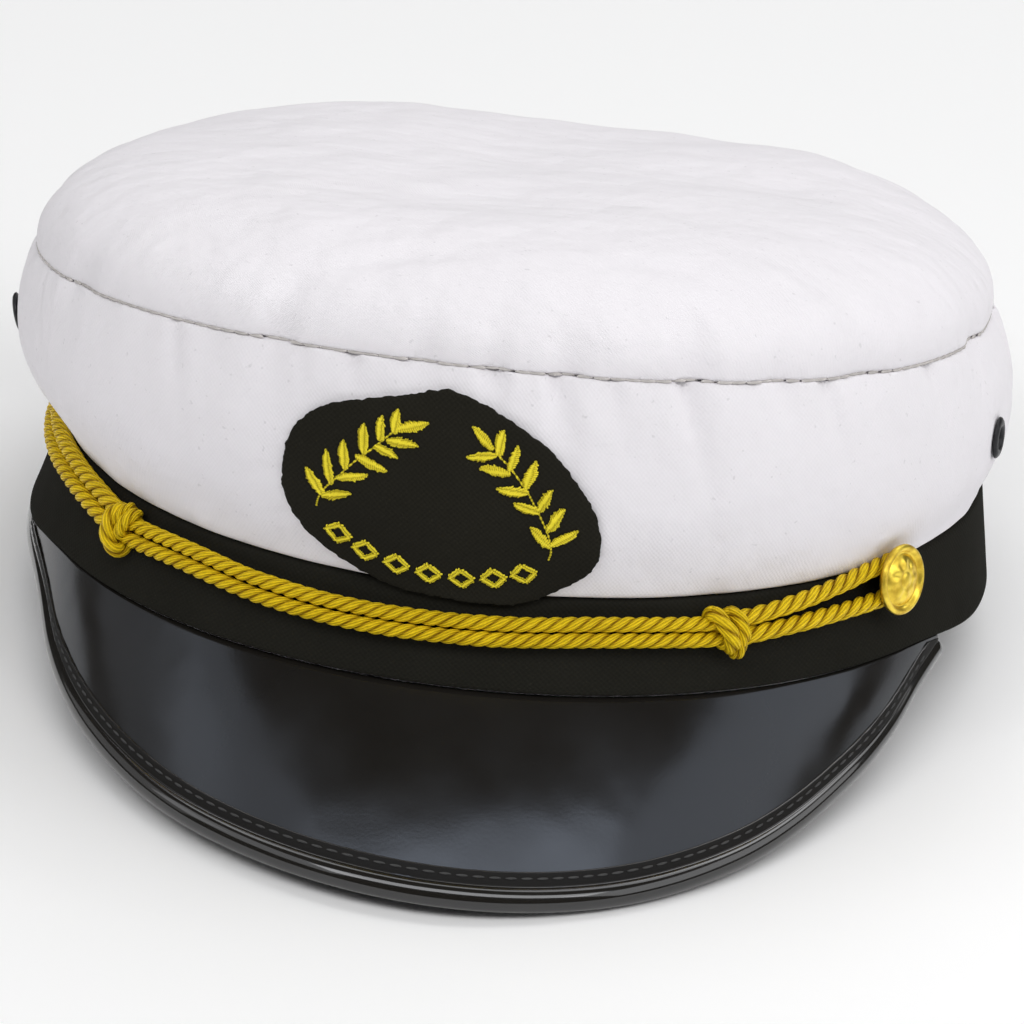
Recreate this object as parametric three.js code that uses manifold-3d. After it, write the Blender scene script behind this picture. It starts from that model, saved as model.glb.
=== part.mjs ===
// Captain hat: a soft white cotton crown on a black cloth band, with a glossy black peak, a black
// badge patch, a doubled gold cord held by two knots and two buttons, and a vent eyelet on each side.
// Millimetres, +Z up. The hat is built level on the lower rim of its band, with the front towards -Y
// and the wearer's left towards +X. It is then tipped back on the rear of the band until the peak
// rests too, and z = 0 is the surface that carries it. Angles round the hat start at the front and
// grow towards +X.

import * as THREE from "three";
import { mergeVertices } from "three/addons/utils/BufferGeometryUtils.js";
import Module from "manifold-3d";

const wasm = await Module();
wasm.setup();

// ---------------------------------------------------------------------------------------------
// Driving dimensions
// ---------------------------------------------------------------------------------------------

const GAP = 0.3; // clear gap between pieces that touch
const AROUND = 84; // facets round the crown and band
const FRONT_CROWDING = 0.35; // how much closer the facets stand at the front than at the side

const BAND = { height: 19.6, wall: 2.2 };
const BAND_RIM_RISE = { height: 3, middle: 5, full: 58, none: 80 }; // lifted where the peak is sewn on
const BAND_BOTTOM = { halfWidth: 89.6, halfLength: 98.0, squareness: 2.0, x: 0, y: 0 };
const BAND_TOP = { halfWidth: 85.4, halfLength: 94.6, squareness: 2.0, x: 1, y: 0 };

const CROWN_WALL = 2.0;
const SEAM = { halfWidth: 86.8, halfLength: 94.4, squareness: 2.28, x: -2.6, y: 0 };
const SEAM_HEIGHT = 50.4; // of the seam above the band's lower rim, at the middle of the hat
const SEAM_RISE_FORWARD = 0.09; // the seam climbs this much for each millimetre towards the front
const SEAM_RISE_LEFT = 0.015; // and this much towards the wearer's left
const SIDE_SWELL = { front: 4.5, right: 5.8, left: 4.4, back: 5.0, lowness: 0.95, fullness: 0.8 };

// Vertical puckers that hang from the seam: where they are, how deep and wide, how far down they reach.
const PUCKERS = [
  { degrees: -48, depth: 0.9, halfWidth: 4.5, reach: 0.5 },
  { degrees: -18, depth: 1.6, halfWidth: 3.5, reach: 0.55 },
  { degrees: -1, depth: 1.0, halfWidth: 3.0, reach: 0.3 },
  { degrees: 7, depth: 1.1, halfWidth: 2.6, reach: 0.35 },
  { degrees: 15, depth: 1.5, halfWidth: 3.0, reach: 0.6 },
  { degrees: 29, depth: 2.0, halfWidth: 3.4, reach: 0.45 },
  { degrees: 39, depth: 1.2, halfWidth: 3.2, reach: 0.5 },
  { degrees: 51, depth: 1.4, halfWidth: 4.5, reach: 0.6 },
  { degrees: 78, depth: 1.2, halfWidth: 5.0, reach: 0.5 },
  { degrees: 118, depth: 1.4, halfWidth: 6.0, reach: 0.6 },
  { degrees: 155, depth: 1.2, halfWidth: 6.0, reach: 0.5 },
  { degrees: -150, depth: 1.4, halfWidth: 6.0, reach: 0.6 },
  { degrees: -115, depth: 1.2, halfWidth: 6.0, reach: 0.5 },
  { degrees: -82, depth: 1.0, halfWidth: 5.0, reach: 0.5 },
];

const TOP_PUFF = { height: 18.6, crest: 5.5, shoulder: 0.5, overhang: 2.4 };

// Soft rises and hollows of the top, measured from its middle.
const TOP_DENTS = [
  { x: -46, y: 50, rise: 1.4, spreadX: 24, spreadY: 30 },
  { x: 44, y: 46, rise: 2.2, spreadX: 32, spreadY: 30 },
  { x: -20, y: -38, rise: -1.0, spreadX: 24, spreadY: 12 },
];

const PEAK = { wall: 1.8, rootInset: 1.7, bow: 1.4, endCrowding: 0.5 };
// Peak sections: how far the sheet reaches from the band along its slope, and how steep it falls.
const PEAK_SECTIONS = [
  { degrees: -67, width: 1.5, slope: 87 },
  { degrees: -60, width: 7.4, slope: 82 },
  { degrees: -50, width: 14.0, slope: 73 },
  { degrees: -35, width: 21.9, slope: 61 },
  { degrees: -17, width: 30.4, slope: 51 },
  { degrees: 3, width: 36.0, slope: 45 },
  { degrees: 18, width: 34.2, slope: 49 },
  { degrees: 33, width: 27.6, slope: 56 },
  { degrees: 48, width: 18.0, slope: 66 },
  { degrees: 58, width: 11.6, slope: 74 },
  { degrees: 65, width: 6.0, slope: 81 },
  { degrees: 71, width: 1.5, slope: 87 },
];
const BINDING = { tape: 4.2, wall: 0.7, bendFacets: 4 };

const PATCH = { degrees: 1.5, height: 38, wall: 1.0, clear: 0.35 };
// Outline of the badge patch, from its middle: sideways and up.
const PATCH_OUTLINE = [
  { across: 25.4, up: -7.5 },
  { across: 23.6, up: 0.1 },
  { across: 14.5, up: 11.0 },
  { across: 7.9, up: 14.9 },
  { across: 0, up: 16.6 },
  { across: -12.0, up: 13.9 },
  { across: -21.2, up: 10.7 },
  { across: -25.0, up: 5.5 },
  { across: -25.6, up: -5.5 },
  { across: -20.5, up: -13.2 },
  { across: 0, up: -16.8 },
  { across: 20.0, up: -15.0 },
];

const CORD = { radius: 1.5, spacing: 3.4, sides: 8, opening: 30 }; // opens this far before a button
// Middle of the doubled cord between its knots: degrees round the band, and share of its height.
const CORD_ROUTE = [
  { degrees: -25, up: 0.74 },
  { degrees: -9, up: 0.7 },
  { degrees: 7, up: 0.68 },
  { degrees: 20, up: 0.68 },
];
const KNOT = { halfLength: 3.9, halfHeight: 4.6, thickness: 5.2, lobes: 0.08 };
const KNOT_PLACES = { right: { degrees: -39, up: 0.78 }, left: { degrees: 34, up: 0.7 } };
const BUTTON = { radius: 6.3, rimRadius: 5.6, dome: 1.1, plate: 1.1, shankRadius: 1.0, stand: 3.5 };
const BUTTON_PLACES = { right: { degrees: -98, up: 0.78 }, left: { degrees: 57.5, up: 0.81 } };
const EYELET = { hole: 1.8, barrel: 2.7, flange: 3.8, thickness: 0.8 };
const EYELET_PLACES = { right: { degrees: -79, height: 34.5 }, left: { degrees: 80, height: 34 } };

// ---------------------------------------------------------------------------------------------
// Finishes
// ---------------------------------------------------------------------------------------------

const finish = (color, roughness, metalness = 0) =>
  new THREE.MeshStandardMaterial({ color, roughness, metalness });
const WHITE_COTTON = finish(0xf2eff2, 0.9);
const BLACK_CLOTH = finish(0x2a2925, 0.95);
const BLACK_VINYL = finish(0x1c1c1b, 0.22);
const GOLD_CORD = finish(0xd6b31c, 0.55);
const GOLD_METAL = finish(0xd8b420, 0.35, 0.8);
const BLACK_METAL = finish(0x1a1a1c, 0.4, 0.6);

// ---------------------------------------------------------------------------------------------
// Curves round the hat
// ---------------------------------------------------------------------------------------------

const radians = THREE.MathUtils.degToRad;
const lerp = THREE.MathUtils.lerp;

// A point of a head-shaped oval in plan.
function ovalPoint(oval, angle) {
  const s = Math.sin(angle);
  const c = Math.cos(angle);
  const k = (Math.abs(s) ** oval.squareness + Math.abs(c) ** oval.squareness) ** (-1 / oval.squareness);
  return new THREE.Vector2(oval.x + oval.halfWidth * s * k, oval.y - oval.halfLength * c * k);
}

// The outward normal of an oval in plan.
function ovalNormal(oval, angle) {
  const step = 1e-3;
  const along = ovalPoint(oval, angle + step).sub(ovalPoint(oval, angle - step));
  return new THREE.Vector2(along.y, -along.x).normalize();
}

// The oval between two others.
function ovalBetween(low, high, share) {
  const between = {};
  for (const key of Object.keys(low)) between[key] = lerp(low[key], high[key], share);
  return between;
}

// A bell of height 1 round a centre, which is 0 outside its half width.
function bell(offset, halfWidth) {
  const t = Math.min(Math.abs(offset / halfWidth), 1);
  return (1 - t * t) ** 2;
}

// The difference of two angles in degrees, taken the short way round.
const degreesApart = (a, b) => THREE.MathUtils.euclideanModulo(a - b + 180, 360) - 180;

// ---------------------------------------------------------------------------------------------
// Surfaces of the soft parts
// ---------------------------------------------------------------------------------------------

// Height of the band's lower rim.
function rimHeight(angle) {
  const { height, middle, full, none } = BAND_RIM_RISE;
  const away = Math.abs(degreesApart(THREE.MathUtils.radToDeg(angle), middle));
  return height * (1 - THREE.MathUtils.smoothstep(away, full, none));
}

// A point on the band's outside, from share 0 at its lower rim to 1 at its upper rim.
function bandWall(angle, share, inset = 0) {
  const height = lerp(rimHeight(angle), BAND.height, share);
  const oval = ovalBetween(BAND_BOTTOM, BAND_TOP, height / BAND.height);
  const p = ovalPoint(oval, angle).addScaledVector(ovalNormal(oval, angle), -inset);
  return new THREE.Vector3(p.x, p.y, height);
}

// Height of the seam between the top and the side of the crown.
function seamHeight(x, y) {
  return SEAM_HEIGHT + SEAM_RISE_LEFT * x - SEAM_RISE_FORWARD * y;
}

// How far the side of the crown swells out at an angle.
function swell(angle) {
  const ends = lerp(SIDE_SWELL.back, SIDE_SWELL.front, (1 + Math.cos(angle)) / 2);
  const sides = lerp(SIDE_SWELL.right, SIDE_SWELL.left, (1 + Math.sin(angle)) / 2);
  return lerp(sides, ends, Math.cos(angle) ** 2);
}

// How far the puckers draw the side of the crown in.
function puckerDepth(angle, share) {
  const degrees = THREE.MathUtils.radToDeg(angle);
  let depth = 0;
  for (const p of PUCKERS) {
    const across = bell(degreesApart(degrees, p.degrees), p.halfWidth);
    depth += p.depth * across * Math.max(0, 1 - (1 - share) / p.reach) ** 1.5;
  }
  return depth;
}

// A point on the outside of the crown's side, from share 0 at the band to 1 at the seam.
function crownSide(angle, share, inset = 0) {
  const oval = ovalBetween(BAND_TOP, SEAM, share);
  const belly = Math.max(0, Math.sin(Math.PI * share ** SIDE_SWELL.lowness)) ** SIDE_SWELL.fullness;
  const out = swell(angle) * belly - puckerDepth(angle, share);
  const p = ovalPoint(oval, angle).addScaledVector(ovalNormal(oval, angle), out - inset);
  return new THREE.Vector3(p.x, p.y, lerp(BAND.height + GAP, seamHeight(p.x, p.y), share));
}

// A point on the top of the crown, from share 0 in the middle to 1 at the seam.
function crownTop(angle, share, inset = 0) {
  const lift = (1 - share ** TOP_PUFF.crest) ** TOP_PUFF.shoulder;
  const drawnIn = inset + puckerDepth(angle, 1) * share ** 12;
  const rim = ovalPoint(SEAM, angle).addScaledVector(ovalNormal(SEAM, angle), -drawnIn);
  const middle = new THREE.Vector2(SEAM.x, SEAM.y);
  const p = rim.sub(middle).multiplyScalar(share).add(middle);
  p.addScaledVector(ovalNormal(SEAM, angle), TOP_PUFF.overhang * 4 * lift * (1 - lift) * share);
  let z = seamHeight(p.x, p.y) + GAP + (TOP_PUFF.height - inset) * lift;
  for (const d of TOP_DENTS) {
    const far = ((p.x - d.x) / d.spreadX) ** 2 + ((p.y - d.y) / d.spreadY) ** 2;
    z += d.rise * Math.exp(-far) * lift;
  }
  return new THREE.Vector3(p.x, p.y, z);
}

// The outward normal of a surface given as a function of two numbers.
function surfaceNormal(surface, a, b) {
  const step = 1e-3;
  const alongA = surface(a + step, b).sub(surface(a - step, b));
  const alongB = surface(a, b + step).sub(surface(a, b - step));
  return alongA.cross(alongB).normalize();
}

// ---------------------------------------------------------------------------------------------
// Solids made by placing the vertices of three.js geometries
// ---------------------------------------------------------------------------------------------

// A lathe whose profile runs through (across, along) pairs, each vertex placed by
// place(angle, across, along). The facets crowd together where the angle is 0.
function wrap(profile, facets, crowding, place) {
  const geometry = new THREE.LatheGeometry(profile.map(([r, y]) => new THREE.Vector2(r, y)), facets);
  const position = geometry.attributes.position;
  for (let i = 0; i < position.count; i++) {
    const turn = ((Math.floor(i / profile.length) % facets) / facets) * 2 * Math.PI - Math.PI;
    const angle = turn - crowding * Math.sin(turn);
    const [across, along] = profile[i % profile.length];
    position.setXYZ(i, ...place(angle, across, along).toArray());
  }
  return geometry;
}

// A sheet whose vertices are placed by place(u, v, w), each from 0 to 1, with w through its wall.
function bend(alongU, alongV, place) {
  const geometry = new THREE.BoxGeometry(1, 1, 1, alongU, alongV, 1);
  const position = geometry.attributes.position;
  for (let i = 0; i < position.count; i++) {
    const p = place(position.getX(i) + 0.5, position.getY(i) + 0.5, position.getZ(i) + 0.5);
    position.setXYZ(i, ...p.toArray());
  }
  return geometry;
}

// The closed profile of a wall: up its outside in some rows, and down its inside in others.
function wallProfile(outerRows, innerRows) {
  const profile = [];
  for (let i = 0; i <= outerRows; i++) profile.push([0, i / outerRows]);
  for (let i = 0; i <= innerRows; i++) profile.push([1, 1 - i / innerRows]);
  profile.push([0, 0]);
  return profile;
}

const named = (name, geometry, material) => {
  const mesh = new THREE.Mesh(geometry, material);
  mesh.name = name;
  return mesh;
};

// ---------------------------------------------------------------------------------------------
// manifold-3d: only for the holes that the eyelets pass through
// ---------------------------------------------------------------------------------------------

function toSolid(geometry) {
  const bare = geometry.clone();
  for (const name of ["normal", "uv"]) bare.deleteAttribute(name);
  const merged = mergeVertices(bare, 1e-4);
  return new wasm.Manifold(
    new wasm.Mesh({
      numProp: 3,
      vertProperties: new Float32Array(merged.attributes.position.array),
      triVerts: new Uint32Array(merged.index.array),
    }),
  );
}

function toGeometry(solid) {
  const mesh = solid.getMesh();
  return new THREE.BufferGeometry()
    .setAttribute("position", new THREE.BufferAttribute(mesh.vertProperties, 3))
    .setIndex(new THREE.BufferAttribute(mesh.triVerts, 1));
}

// ---------------------------------------------------------------------------------------------
// Band and crown
// ---------------------------------------------------------------------------------------------

function headBand() {
  const place = (angle, inside, up) => bandWall(angle, up, inside * BAND.wall);
  return named("head_band", wrap(wallProfile(2, 1), AROUND, FRONT_CROWDING, place), BLACK_CLOTH);
}

function crownSidePiece(holes) {
  const place = (angle, inside, up) => crownSide(angle, up, inside * CROWN_WALL);
  let solid = toSolid(wrap(wallProfile(7, 4), AROUND, FRONT_CROWDING, place));
  for (const hole of holes) solid = solid.subtract(toSolid(hole));
  return named("crown_side", toGeometry(solid), WHITE_COTTON);
}

function crownTopPiece() {
  const rows = { inner: 5, outer: 8 };
  const share = (i, n) => Math.sin((i / n) * (Math.PI / 2)) ** 0.8; // closer rows near the rim
  const profile = [];
  for (let i = 0; i <= rows.inner; i++) profile.push([share(i, rows.inner), 1]);
  for (let i = rows.outer; i >= 0; i--) profile.push([share(i, rows.outer), 0]);
  const place = (angle, out, inside) => crownTop(angle, out, inside * CROWN_WALL);
  return named("crown_top", wrap(profile, AROUND, FRONT_CROWDING, place), WHITE_COTTON);
}

// ---------------------------------------------------------------------------------------------
// Peak and its binding
// ---------------------------------------------------------------------------------------------

const peakTable = new THREE.CubicInterpolant(
  PEAK_SECTIONS.map((s) => s.degrees),
  PEAK_SECTIONS.flatMap((s) => [s.width, s.slope]),
  2,
);

// Width and slope of the peak at an angle round the band.
function peakSection(angle) {
  const [width, slope] = peakTable.evaluate(THREE.MathUtils.radToDeg(angle));
  return { width, slope: radians(slope) };
}

// A point of the peak's middle surface, some millimetres in from its edge.
function peakSheet(angle, fromEdge, offset = 0) {
  const { width, slope } = peakSection(angle);
  const full = width + PEAK.rootInset;
  const along = full - fromEdge;
  const n = ovalNormal(BAND_BOTTOM, angle);
  const root = bandWall(angle, 0, PEAK.rootInset);
  const bow = ((PEAK.bow * full) / 40) * Math.sin((Math.PI * along) / full);
  const lift = bow + offset;
  const out = along * Math.cos(slope) + lift * Math.sin(slope);
  const drop = along * Math.sin(slope) - lift * Math.cos(slope) + GAP + PEAK.wall * 0.5 * Math.cos(slope);
  return new THREE.Vector3(root.x + n.x * out, root.y + n.y * out, root.z - drop);
}

const peakSpan = [PEAK_SECTIONS[0], PEAK_SECTIONS.at(-1)].map((s) => radians(s.degrees));

// The angle at a share of the peak's span, with the shares closer together towards its ends.
function peakAngle(share) {
  return lerp(...peakSpan, share - (PEAK.endCrowding * Math.sin(2 * Math.PI * share)) / (2 * Math.PI));
}

function peak() {
  const place = (u, v, w) => {
    const angle = peakAngle(u);
    const full = peakSection(angle).width + PEAK.rootInset;
    return peakSheet(angle, full * (1 - v), PEAK.wall * (0.5 - w));
  };
  return named("peak", bend(40, 6, place), BLACK_VINYL);
}

// The folded tape round the peak's edge: over the top, round the edge and back underneath.
function peakBinding() {
  const reach = PEAK.wall / 2 + GAP + BINDING.wall / 2;
  const rows = BINDING.bendFacets + 2;
  const place = (u, v, w) => {
    const angle = peakAngle(u);
    const tape = Math.min(BINDING.tape, peakSection(angle).width - 1.2);
    const row = Math.round(v * rows);
    const turn = THREE.MathUtils.clamp((row - 1) / BINDING.bendFacets, 0, 1) * Math.PI;
    const radius = reach + BINDING.wall * (0.5 - w);
    const inEdge = row === 0 || row === rows ? tape : 0;
    const edge = peakSheet(angle, 0);
    const outward = edge.clone().sub(peakSheet(angle, 1)).normalize();
    const point = peakSheet(angle, inEdge, radius * Math.cos(turn));
    return point.addScaledVector(outward, radius * Math.sin(turn));
  };
  return named("peak_binding", bend(44, rows, place), BLACK_VINYL);
}

// ---------------------------------------------------------------------------------------------
// Badge patch
// ---------------------------------------------------------------------------------------------

function badgePatch() {
  const outline = new THREE.CatmullRomCurve3(
    PATCH_OUTLINE.map((row) => new THREE.Vector3(row.across, row.up, 0)),
    true,
  );
  const frontHeight = seamHeight(0, -SEAM.halfLength) - BAND.height;
  const place = (angle, share, front) => {
    const turn = THREE.MathUtils.euclideanModulo(angle / (2 * Math.PI), 1);
    const p = outline.getPoint(turn).multiplyScalar(share);
    const round = radians(PATCH.degrees) + p.x / BAND_TOP.halfWidth;
    const up = Math.max((PATCH.height + p.y - BAND.height) / frontHeight, 0.03);
    const normal = surfaceNormal(crownSide, round, up);
    return crownSide(round, up).addScaledVector(normal, PATCH.clear + front * PATCH.wall);
  };
  const shares = [0, 0.35, 0.7, 1];
  const profile = [...shares.map((s) => [s, 0]), ...shares.toReversed().map((s) => [s, 1])];
  return named("badge_patch", wrap(profile, 36, 0, place), BLACK_CLOTH);
}

// ---------------------------------------------------------------------------------------------
// Cord, knots and buttons
// ---------------------------------------------------------------------------------------------

// A point standing off the band by some millimetres, and raised by others.
function offBand(degrees, up, stand, raise = 0) {
  const angle = radians(degrees);
  const share = up + raise / (BAND.height - rimHeight(angle));
  return bandWall(angle, share).addScaledVector(surfaceNormal(bandWall, angle, share), stand);
}

// A frame on the band: x along the band towards +X, y up it, z away from it.
function bandFrame(degrees, up, stand) {
  const angle = radians(degrees);
  const z = surfaceNormal(bandWall, angle, up);
  const along = offBand(degrees + 0.5, up, 0).sub(offBand(degrees - 0.5, up, 0)).normalize();
  const y = z.clone().cross(along).normalize();
  return new THREE.Matrix4().makeBasis(y.clone().cross(z), y, z).setPosition(offBand(degrees, up, stand));
}

function cordTube(name, points, steps) {
  const shape = new THREE.Shape();
  for (let i = 0; i < CORD.sides; i++) {
    const a = (2 * Math.PI * i) / CORD.sides;
    const corner = [CORD.radius * Math.cos(a), CORD.radius * Math.sin(a)];
    if (i === 0) shape.moveTo(...corner);
    else shape.lineTo(...corner);
  }
  const extrudePath = new THREE.CatmullRomCurve3(points, false, "centripetal");
  return named(name, new THREE.ExtrudeGeometry(shape, { steps, extrudePath }), GOLD_CORD);
}

const cordStand = CORD.radius + GAP;
const degreesPerMm = 180 / (Math.PI * (BAND_BOTTOM.halfWidth + cordStand));
const knotEnd = (KNOT.halfLength * (1 + KNOT.lobes) + GAP) * degreesPerMm;

// One of the two strands between the knots.
function cordStrand(name, side) {
  const { right, left } = KNOT_PLACES;
  const route = [
    { degrees: right.degrees + knotEnd, up: right.up },
    ...CORD_ROUTE,
    { degrees: left.degrees - knotEnd, up: left.up },
  ];
  const line = new THREE.SplineCurve(route.map((at) => new THREE.Vector2(at.degrees, at.up)));
  const points = line.getPoints(32).map((p) => offBand(p.x, p.y, cordStand, (side * CORD.spacing) / 2));
  return cordTube(name, points, 40);
}

// The loop of cord from a knot round a button's shank and back.
function cordLoop(name, knot, button) {
  const towards = Math.sign(button.degrees - knot.degrees);
  const start = knot.degrees + towards * knotEnd;
  const turn = BUTTON.shankRadius + CORD.radius + 2 * GAP;
  const end = button.degrees - towards * turn * degreesPerMm;
  const rows = Math.max(4, Math.round(Math.abs(end - start) / 5));
  const side = (sign) =>
    Array.from({ length: rows }, (_, i) => {
      const share = (0.88 * i) / (rows - 1);
      const before = (Math.abs(end - start) * (1 - share)) / degreesPerMm;
      const apart = lerp(CORD.spacing / 2, turn, Math.max(0, 1 - before / CORD.opening) ** 1.5);
      return offBand(lerp(start, end, share), lerp(knot.up, button.up, share), cordStand, sign * apart);
    });
  const round = [-75, -40, 0, 40, 75].map((t) => {
    const degrees = button.degrees + towards * turn * degreesPerMm * Math.cos(radians(t));
    return offBand(degrees, button.up, cordStand, -turn * Math.sin(radians(t)));
  });
  return cordTube(name, [...side(1), ...round, ...side(-1).toReversed()], 16 + 2 * rows);
}

function cordKnot(name, knot) {
  const geometry = new THREE.SphereGeometry(1, 12, 8);
  const position = geometry.attributes.position;
  for (let i = 0; i < position.count; i++) {
    const p = new THREE.Vector3().fromBufferAttribute(position, i);
    const lobes = 1 + KNOT.lobes * Math.cos(3 * Math.atan2(p.y, p.x) + 2 * p.z);
    p.multiplyScalar(lobes);
    position.setXYZ(i, p.x * KNOT.halfLength, p.y * KNOT.halfHeight, (p.z * KNOT.thickness) / 2);
  }
  geometry.applyMatrix4(bandFrame(knot.degrees, knot.up, KNOT.thickness / 2 + GAP + 0.2));
  return named(name, geometry, GOLD_CORD);
}

// A domed button with a raised rim, on a shank that stands on the band.
function goldButton(name, place) {
  const { radius, rimRadius, dome, plate, shankRadius, stand } = BUTTON;
  const profile = [
    [0, GAP],
    [shankRadius, GAP],
    [shankRadius, stand],
    [radius, stand],
    [radius, stand + plate],
    [(radius + rimRadius) / 2, stand + plate + 0.4],
    [rimRadius, stand + plate],
    [rimRadius * 0.6, stand + plate + dome * 0.75],
    [0, stand + plate + dome],
  ].map(([r, z]) => new THREE.Vector2(r, z));
  const geometry = new THREE.LatheGeometry(profile, 18).rotateX(Math.PI / 2);
  geometry.applyMatrix4(bandFrame(place.degrees, place.up, 0));
  return named(name, geometry, GOLD_METAL);
}

// ---------------------------------------------------------------------------------------------
// Vent eyelets
// ---------------------------------------------------------------------------------------------

// A frame on the crown's side, with z pointing out of it.
function crownFrame(degrees, height) {
  const angle = radians(degrees);
  const share = (height - BAND.height) / (SEAM_HEIGHT - BAND.height);
  const z = surfaceNormal(crownSide, angle, share);
  const x = new THREE.Vector3(0, 0, 1).cross(z).normalize();
  return new THREE.Matrix4().makeBasis(x, z.clone().cross(x), z).setPosition(crownSide(angle, share));
}

function eyelet(name, frame) {
  const { hole, barrel, flange, thickness } = EYELET;
  const top = GAP + 0.15 + thickness;
  const profile = [
    [hole, -CROWN_WALL],
    [barrel - GAP, -CROWN_WALL],
    [barrel - GAP, top - thickness],
    [flange, top - thickness],
    [flange - 0.3, top],
    [hole + 0.4, top],
    [hole, top - 0.4],
    [hole, -CROWN_WALL],
  ].map(([r, z]) => new THREE.Vector2(r, z));
  const geometry = new THREE.LatheGeometry(profile, 16).rotateX(Math.PI / 2).applyMatrix4(frame);
  return named(name, geometry, BLACK_METAL);
}

function eyeletHole(frame) {
  const drill = new THREE.CylinderGeometry(EYELET.barrel, EYELET.barrel, 4 * CROWN_WALL, 16);
  return drill.rotateX(Math.PI / 2).applyMatrix4(frame);
}

// ---------------------------------------------------------------------------------------------
// The hat, tipped back until it rests
// ---------------------------------------------------------------------------------------------

// The tilt about the rear of the band at which the peak's bound edge just touches the surface.
function restTilt() {
  const rear = ovalPoint(BAND_BOTTOM, Math.PI).y;
  const reach = PEAK.wall / 2 + GAP + BINDING.wall;
  let tilt = 0;
  for (let i = 0; i <= 200; i++) {
    const angle = peakAngle(i / 200);
    const edge = peakSheet(angle, 0);
    tilt = Math.max(tilt, Math.atan2(reach - edge.z, rear - edge.y));
  }
  return { tilt, rear };
}

const eyeletFrames = {
  right: crownFrame(EYELET_PLACES.right.degrees, EYELET_PLACES.right.height),
  left: crownFrame(EYELET_PLACES.left.degrees, EYELET_PLACES.left.height),
};

const hat = new THREE.Group();
hat.add(
  headBand(),
  crownSidePiece(Object.values(eyeletFrames).map(eyeletHole)),
  crownTopPiece(),
  peak(),
  peakBinding(),
  badgePatch(),
  cordStrand("cord_upper", 1),
  cordStrand("cord_lower", -1),
);
for (const side of ["right", "left"]) {
  hat.add(
    cordLoop("cord_loop_" + side, KNOT_PLACES[side], BUTTON_PLACES[side]),
    cordKnot("cord_knot_" + side, KNOT_PLACES[side]),
    goldButton("button_" + side, BUTTON_PLACES[side]),
    eyelet("eyelet_" + side, eyeletFrames[side]),
  );
}

const { tilt } = restTilt();
hat.rotation.x = -tilt;
const group = new THREE.Group();
group.add(hat);
const box = new THREE.Box3().setFromObject(group, true);
hat.position.set(-(box.min.x + box.max.x) / 2, -(box.min.y + box.max.y) / 2, -box.min.z);

export default group;
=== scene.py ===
"""Captain hat, dressed in cotton, black cloth, glossy vinyl, embroidery, gold rope and metal.

Sizes are in millimetres in the hat's own level frame: the front towards -Y, the wearer's left towards
+X, z = 0 at the lower rim of the band, and angles that start at the front and grow towards +X. Each
finished piece is tipped and moved by MODEL_FROM_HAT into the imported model's frame, in metres.
"""

import logging
import math
from bisect import bisect_right
from dataclasses import astuple, dataclass, field, replace
from enum import Enum
from functools import cache
from math import atan2, copysign, cos, exp, hypot, pi, radians, sin, sqrt
from random import Random
from typing import Callable, ClassVar, Sequence

import bmesh
import bpy
from mathutils import Matrix, Vector, noise


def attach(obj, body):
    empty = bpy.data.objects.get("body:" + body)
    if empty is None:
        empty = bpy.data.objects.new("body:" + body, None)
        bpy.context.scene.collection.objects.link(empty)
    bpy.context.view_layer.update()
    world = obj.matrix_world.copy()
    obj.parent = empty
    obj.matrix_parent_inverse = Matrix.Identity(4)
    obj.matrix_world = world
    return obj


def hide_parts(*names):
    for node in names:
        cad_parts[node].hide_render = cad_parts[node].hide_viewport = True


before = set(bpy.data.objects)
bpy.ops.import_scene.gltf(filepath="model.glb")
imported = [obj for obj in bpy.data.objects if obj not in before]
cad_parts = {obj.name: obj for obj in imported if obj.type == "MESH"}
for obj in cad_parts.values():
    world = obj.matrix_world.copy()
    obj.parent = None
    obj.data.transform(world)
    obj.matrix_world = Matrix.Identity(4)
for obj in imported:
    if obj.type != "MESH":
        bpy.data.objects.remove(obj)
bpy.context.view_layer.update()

LOG = logging.getLogger("captain_hat")

MM = 0.001
GAP = 0.3  # clear gap between pieces that touch
SMALL_STEP = 1e-3  # step to each side at which a direction is measured
PATTERN = "UVMap"  # the layer that holds the pattern's place on a piece
APART = 60  # between the pattern's places on a cloth's outside and its inside
MERGE = 1e-4  # points of a mesh that are closer than this are one
TILT = 7.29142  # degrees that the resting hat leans back
REST_SHIFT = Vector((1.44669, 11.78477, 12.52561))  # of the tipped hat onto its resting place
MODEL_FROM_HAT = (
    Matrix.Scale(MM, 4) @ Matrix.Translation(REST_SHIFT) @ Matrix.Rotation(-radians(TILT), 4, "X")
)

Place = Callable[[float, float], Vector]
Unwrap = Callable[[float, float], tuple]
BMesh = bmesh.types.BMesh
Socket = bpy.types.NodeSocket


class Slot(Enum):
    """Material slots of the record."""

    COTTON = "white_cotton"
    BAND = "black_cloth"
    VINYL = "glossy_vinyl"
    TAPE = "binding_tape"
    PATCH = "patch_cloth"
    CORD = "gold_cord"
    GILT = "gold_metal"
    EYELET = "black_metal"


# --- Small sums ---


def lerp(low: float, high: float, share: float) -> float:
    """Blend two numbers."""
    return low + (high - low) * share


def clamp(value: float, low: float = 0.0, high: float = 1.0) -> float:
    """Keep a number between two others."""
    return max(low, min(high, value))


def smoothstep(value: float, low: float, high: float) -> float:
    """Rise smoothly from 0 at low to 1 at high."""
    t = clamp((value - low) / (high - low))
    return t * t * (3 - 2 * t)


def bell(offset: float, half_width: float) -> float:
    """Stand 1 high at the middle and 0 outside the half width."""
    t = min(abs(offset / half_width), 1.0)
    return (1 - t * t) ** 2


def degrees_past(angle: float, degrees: float) -> float:
    """Tell how many degrees an angle lies past a direction in degrees, the short way round."""
    return (math.degrees(angle) - degrees + 180) % 360 - 180


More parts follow.
